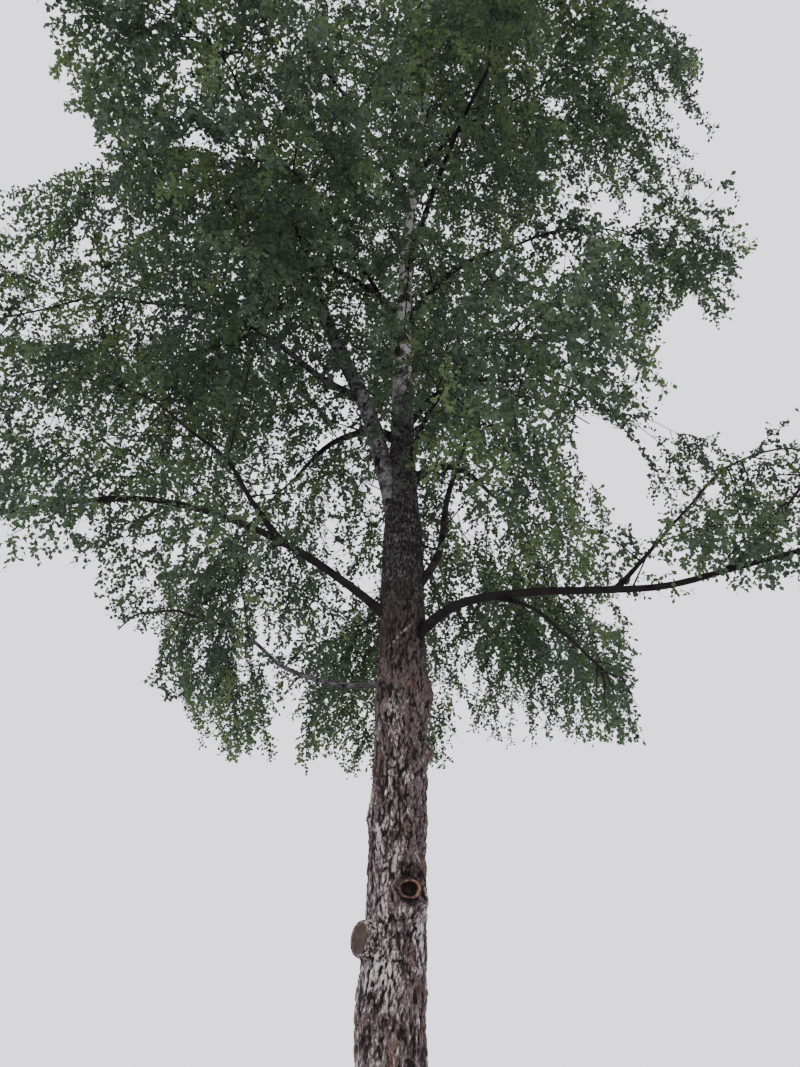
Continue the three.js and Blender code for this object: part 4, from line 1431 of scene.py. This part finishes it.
class BirchStageLook(bpy.types.PropertyGroup):
    floor_radius: length_setting("Floor radius", "Radius of the floor", 45.0)
    floor_colour: colour_setting("Floor", "The pale floor", (0.62, 0.62, 0.61))
    sky_colour: colour_setting("Sky", "The light from all round", (0.84, 0.83, 0.92))
    sky_strength: bpy.props.FloatProperty(
        name="Soft light", description="Strength of the light from all round", default=2.2, min=0
    )


# Operators, one for each group of pieces


class BIRCH_OT_trunk(bpy.types.Operator):
    """Makes the trunk with its plates of bark"""

    bl_idname = "birch.trunk"
    bl_label = "Trunk"

    def execute(self, context):
        look = context.scene.birch_bark
        values = plate_values(look, look.fissure_depth, look.swell)
        trunk = grow_piece(make_trunk_mesh(look.trunk_columns), bark_group(), values)
        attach(trunk, "root")
        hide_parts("trunk")
        return {"FINISHED"}


class BIRCH_OT_scars(bpy.types.Operator):
    """Makes the sawn stub and the knot with a hole in it"""

    bl_idname = "birch.scars"
    bl_label = "Pruning scars"

    def execute(self, context):
        for piece in make_scars(context.scene.birch_bark):
            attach(piece, "root")
        return {"FINISHED"}


class BIRCH_OT_boughs(bpy.types.Operator):
    """Makes the boughs"""

    bl_idname = "birch.boughs"
    bl_label = "Boughs"

    def execute(self, context):
        look = context.scene.birch_bark
        limbs = grown_tree()[0]
        values = {**BOUGH_PLATES, "Material": bough_material(look)}
        boughs = grow_piece(make_bough_mesh(limbs, look.bough_columns), bark_group(), values)
        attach(boughs, "root")
        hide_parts(*["bough_" + name for name in limbs])
        return {"FINISHED"}


class BIRCH_OT_foliage(bpy.types.Operator):
    """Makes the twigs, the shoots and the leaves of every mass"""

    bl_idname = "birch.foliage"
    bl_label = "Twigs and leaves"

    def execute(self, context):
        look = context.scene.birch_leaves
        random = np.random.default_rng(GROWTH_SEED + 1)
        _, masses, twigs, finer, sprays, space = grown_tree()
        bark = twig_material(context.scene.birch_bark)
        tubes, copies = tube_group(), scatter_group()
        pieces = self.make_twigs(masses, twigs, finer, tubes, bark)
        roots, tips, spray_of = spray_shoots(sprays, space, random)
        axes = np.array([spray["axis"] for spray in sprays])
        axes = np.vstack([axes[:, :2], axes[:, 1:]])
        pieces.append(self.make_shoots("spray_axes", axes[:, 0], axes[:, 1], copies, bark))
        pieces.append(self.make_shoots("shoots", roots, tips, copies, bark))
        greens = greens_of(sprays, random)
        lines = leafy_lines(sprays, roots, tips, spray_of)
        leaves = self.make_leaves(lines, greens, space, copies, look, random)
        for piece in [*pieces, *leaves]:
            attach(piece, "root")
        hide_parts(*[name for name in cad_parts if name.startswith("leaves_")])
        return {"FINISHED"}

    def make_twigs(self, masses, twigs, finer, tubes, bark):
        paths = [rounded(mass["stem"], ROUNDING["stem"]) for mass in masses]
        radii = []
        for mass, path in zip(masses, paths):
            radii.append(mass["girth"] * STEM_SLIM * np.linspace(1, STEM["tip"], len(path)))
        values = {"Sides": TUBE_SIDES["stem"], "Material": bark}
        stems = grow_piece(line_mesh("stems", paths, radii), tubes, values)
        paths = [rounded(twig["path"], ROUNDING["twig"]) for twig in twigs]
        radii = [np.linspace(*TWIG_RADII["twig"], len(path)) for path in paths]
        paths += [twig["path"] for twig in finer]
        radii += [np.linspace(*TWIG_RADII["fine_twig"], len(twig["path"])) for twig in finer]
        values = {"Sides": TUBE_SIDES["twig"], "Material": bark}
        side = grow_piece(line_mesh("side_twigs", paths, radii), tubes, values)
        return [stems, side]

    def make_shoots(self, name, roots, tips, copies, bark):
        span = tips - roots
        length = np.linalg.norm(span, axis=1)
        thick = np.full(len(length), TWIG_RADII[name])
        size = np.stack([length, thick, thick], axis=1)
        points = point_mesh(name, roots, span, np.tile(UP, (len(span), 1)), size)
        shape = shoot_shape()
        shoots = grow_piece(points, copies, {"Shape": shape, "Material": bark})
        bpy.data.objects.remove(shape)
        return shoots

    def make_leaves(self, lines, greens, space, copies, look, random):
        places, along, face, size, spray = place_leaves(*lines, look.leaf_spacing, look.leaf_length, random)
        tips = places + along * size[:, None]
        free = in_chunks(lambda points: space.is_off_limbs(points, LEAF["clear"]), tips)
        free &= space.is_in_box(tips)
        shape = leaf_shape()
        pieces = []
        for number, (name, (colour, _)) in enumerate(LEAF_GREENS.items()):
            chosen = free & (greens[spray] == number)
            sizes = np.repeat(size[chosen, None], 3, axis=1)
            points = point_mesh(name, places[chosen], along[chosen], face[chosen], sizes)
            material = leaf_material(name, colour, look)
            pieces.append(grow_piece(points, copies, {"Shape": shape, "Material": material}))
        bpy.data.objects.remove(shape)
        return pieces


class BIRCH_OT_stage(bpy.types.Operator):
    """Makes the pale floor, the soft light and the camera"""

    bl_idname = "birch.stage"
    bl_label = "Stage"

    def execute(self, context):
        look = context.scene.birch_stage
        self.make_floor(look)
        self.make_light(context, look)
        self.make_camera(context)
        return {"FINISHED"}

    def make_floor(self, look):
        turns = np.linspace(0, 2 * math.pi, FLOOR_CORNERS, endpoint=False)
        ring = [(look.floor_radius * math.cos(turn), look.floor_radius * math.sin(turn), 0) for turn in turns]
        floor = object_of(mesh_of("floor", ring, [tuple(range(FLOOR_CORNERS))]))
        material, graph = new_material("pale_floor")
        values = {"Base Color": (*look.floor_colour, 1), "Roughness": 0.9}
        end_material(graph, graph.add("ShaderNodeBsdfPrincipled", None, values))
        floor.data.materials.append(material)

    def make_light(self, context, look):
        world = bpy.data.worlds.new("soft_sky")
        world.use_nodes = True
        background = world.node_tree.nodes["Background"]
        background.inputs[0].default_value = (*look.sky_colour, 1)
        background.inputs[1].default_value = look.sky_strength
        context.scene.world = world
        sun = bpy.data.lights.new("soft_sun", "SUN")
        sun.energy = SUN["strength"]
        sun.angle = math.radians(SUN["across"])
        lamp = bpy.data.objects.new("soft_sun", sun)
        lamp.rotation_euler = [math.radians(turn) for turn in SUN["turns"]]
        context.scene.collection.objects.link(lamp)

    def make_camera(self, context):
        data = bpy.data.cameras.new("camera")
        data.sensor_width = LENS["sensor"]
        data.lens = LENS["sensor"] * LENS["pixels"] / LENS["photo_height"]
        camera = bpy.data.objects.new("camera", data)
        camera.location = VIEWPOINT
        camera.rotation_euler = (math.radians(90 + LENS["pitch"]), 0, 0)
        context.scene.collection.objects.link(camera)
        context.scene.camera = camera


class BIRCH_PT_sidebar(bpy.types.Panel):
    """The tree's pieces and their sizes"""

    bl_idname = "BIRCH_PT_sidebar"
    bl_label = "Silver Birch"
    bl_space_type = "VIEW_3D"
    bl_region_type = "UI"
    bl_category = "Birch"

    def draw(self, context):
        for group in (context.scene.birch_bark, context.scene.birch_leaves, context.scene.birch_stage):
            for name in group.bl_rna.properties.keys():
                if name not in ("rna_type", "name"):
                    self.layout.prop(group, name)
        for operator in STEPS:
            self.layout.operator(operator.bl_idname)


STEPS = (BIRCH_OT_trunk, BIRCH_OT_scars, BIRCH_OT_boughs, BIRCH_OT_foliage, BIRCH_OT_stage)
CLASSES = (BirchBarkLook, BirchLeafLook, BirchStageLook, *STEPS, BIRCH_PT_sidebar)


def register():
    for each in CLASSES:
        bpy.utils.register_class(each)
    bpy.types.Scene.birch_bark = bpy.props.PointerProperty(type=BirchBarkLook)
    bpy.types.Scene.birch_leaves = bpy.props.PointerProperty(type=BirchLeafLook)
    bpy.types.Scene.birch_stage = bpy.props.PointerProperty(type=BirchStageLook)


def unregister():
    for name in ("birch_bark", "birch_leaves", "birch_stage"):
        delattr(bpy.types.Scene, name)
    for each in reversed(CLASSES):
        bpy.utils.unregister_class(each)


def main():
    register()
    bpy.ops.birch.trunk()
    bpy.ops.birch.scars()
    bpy.ops.birch.boughs()
    bpy.ops.birch.foliage()
    bpy.ops.birch.stage()


if __name__ == "__main__":
    main()
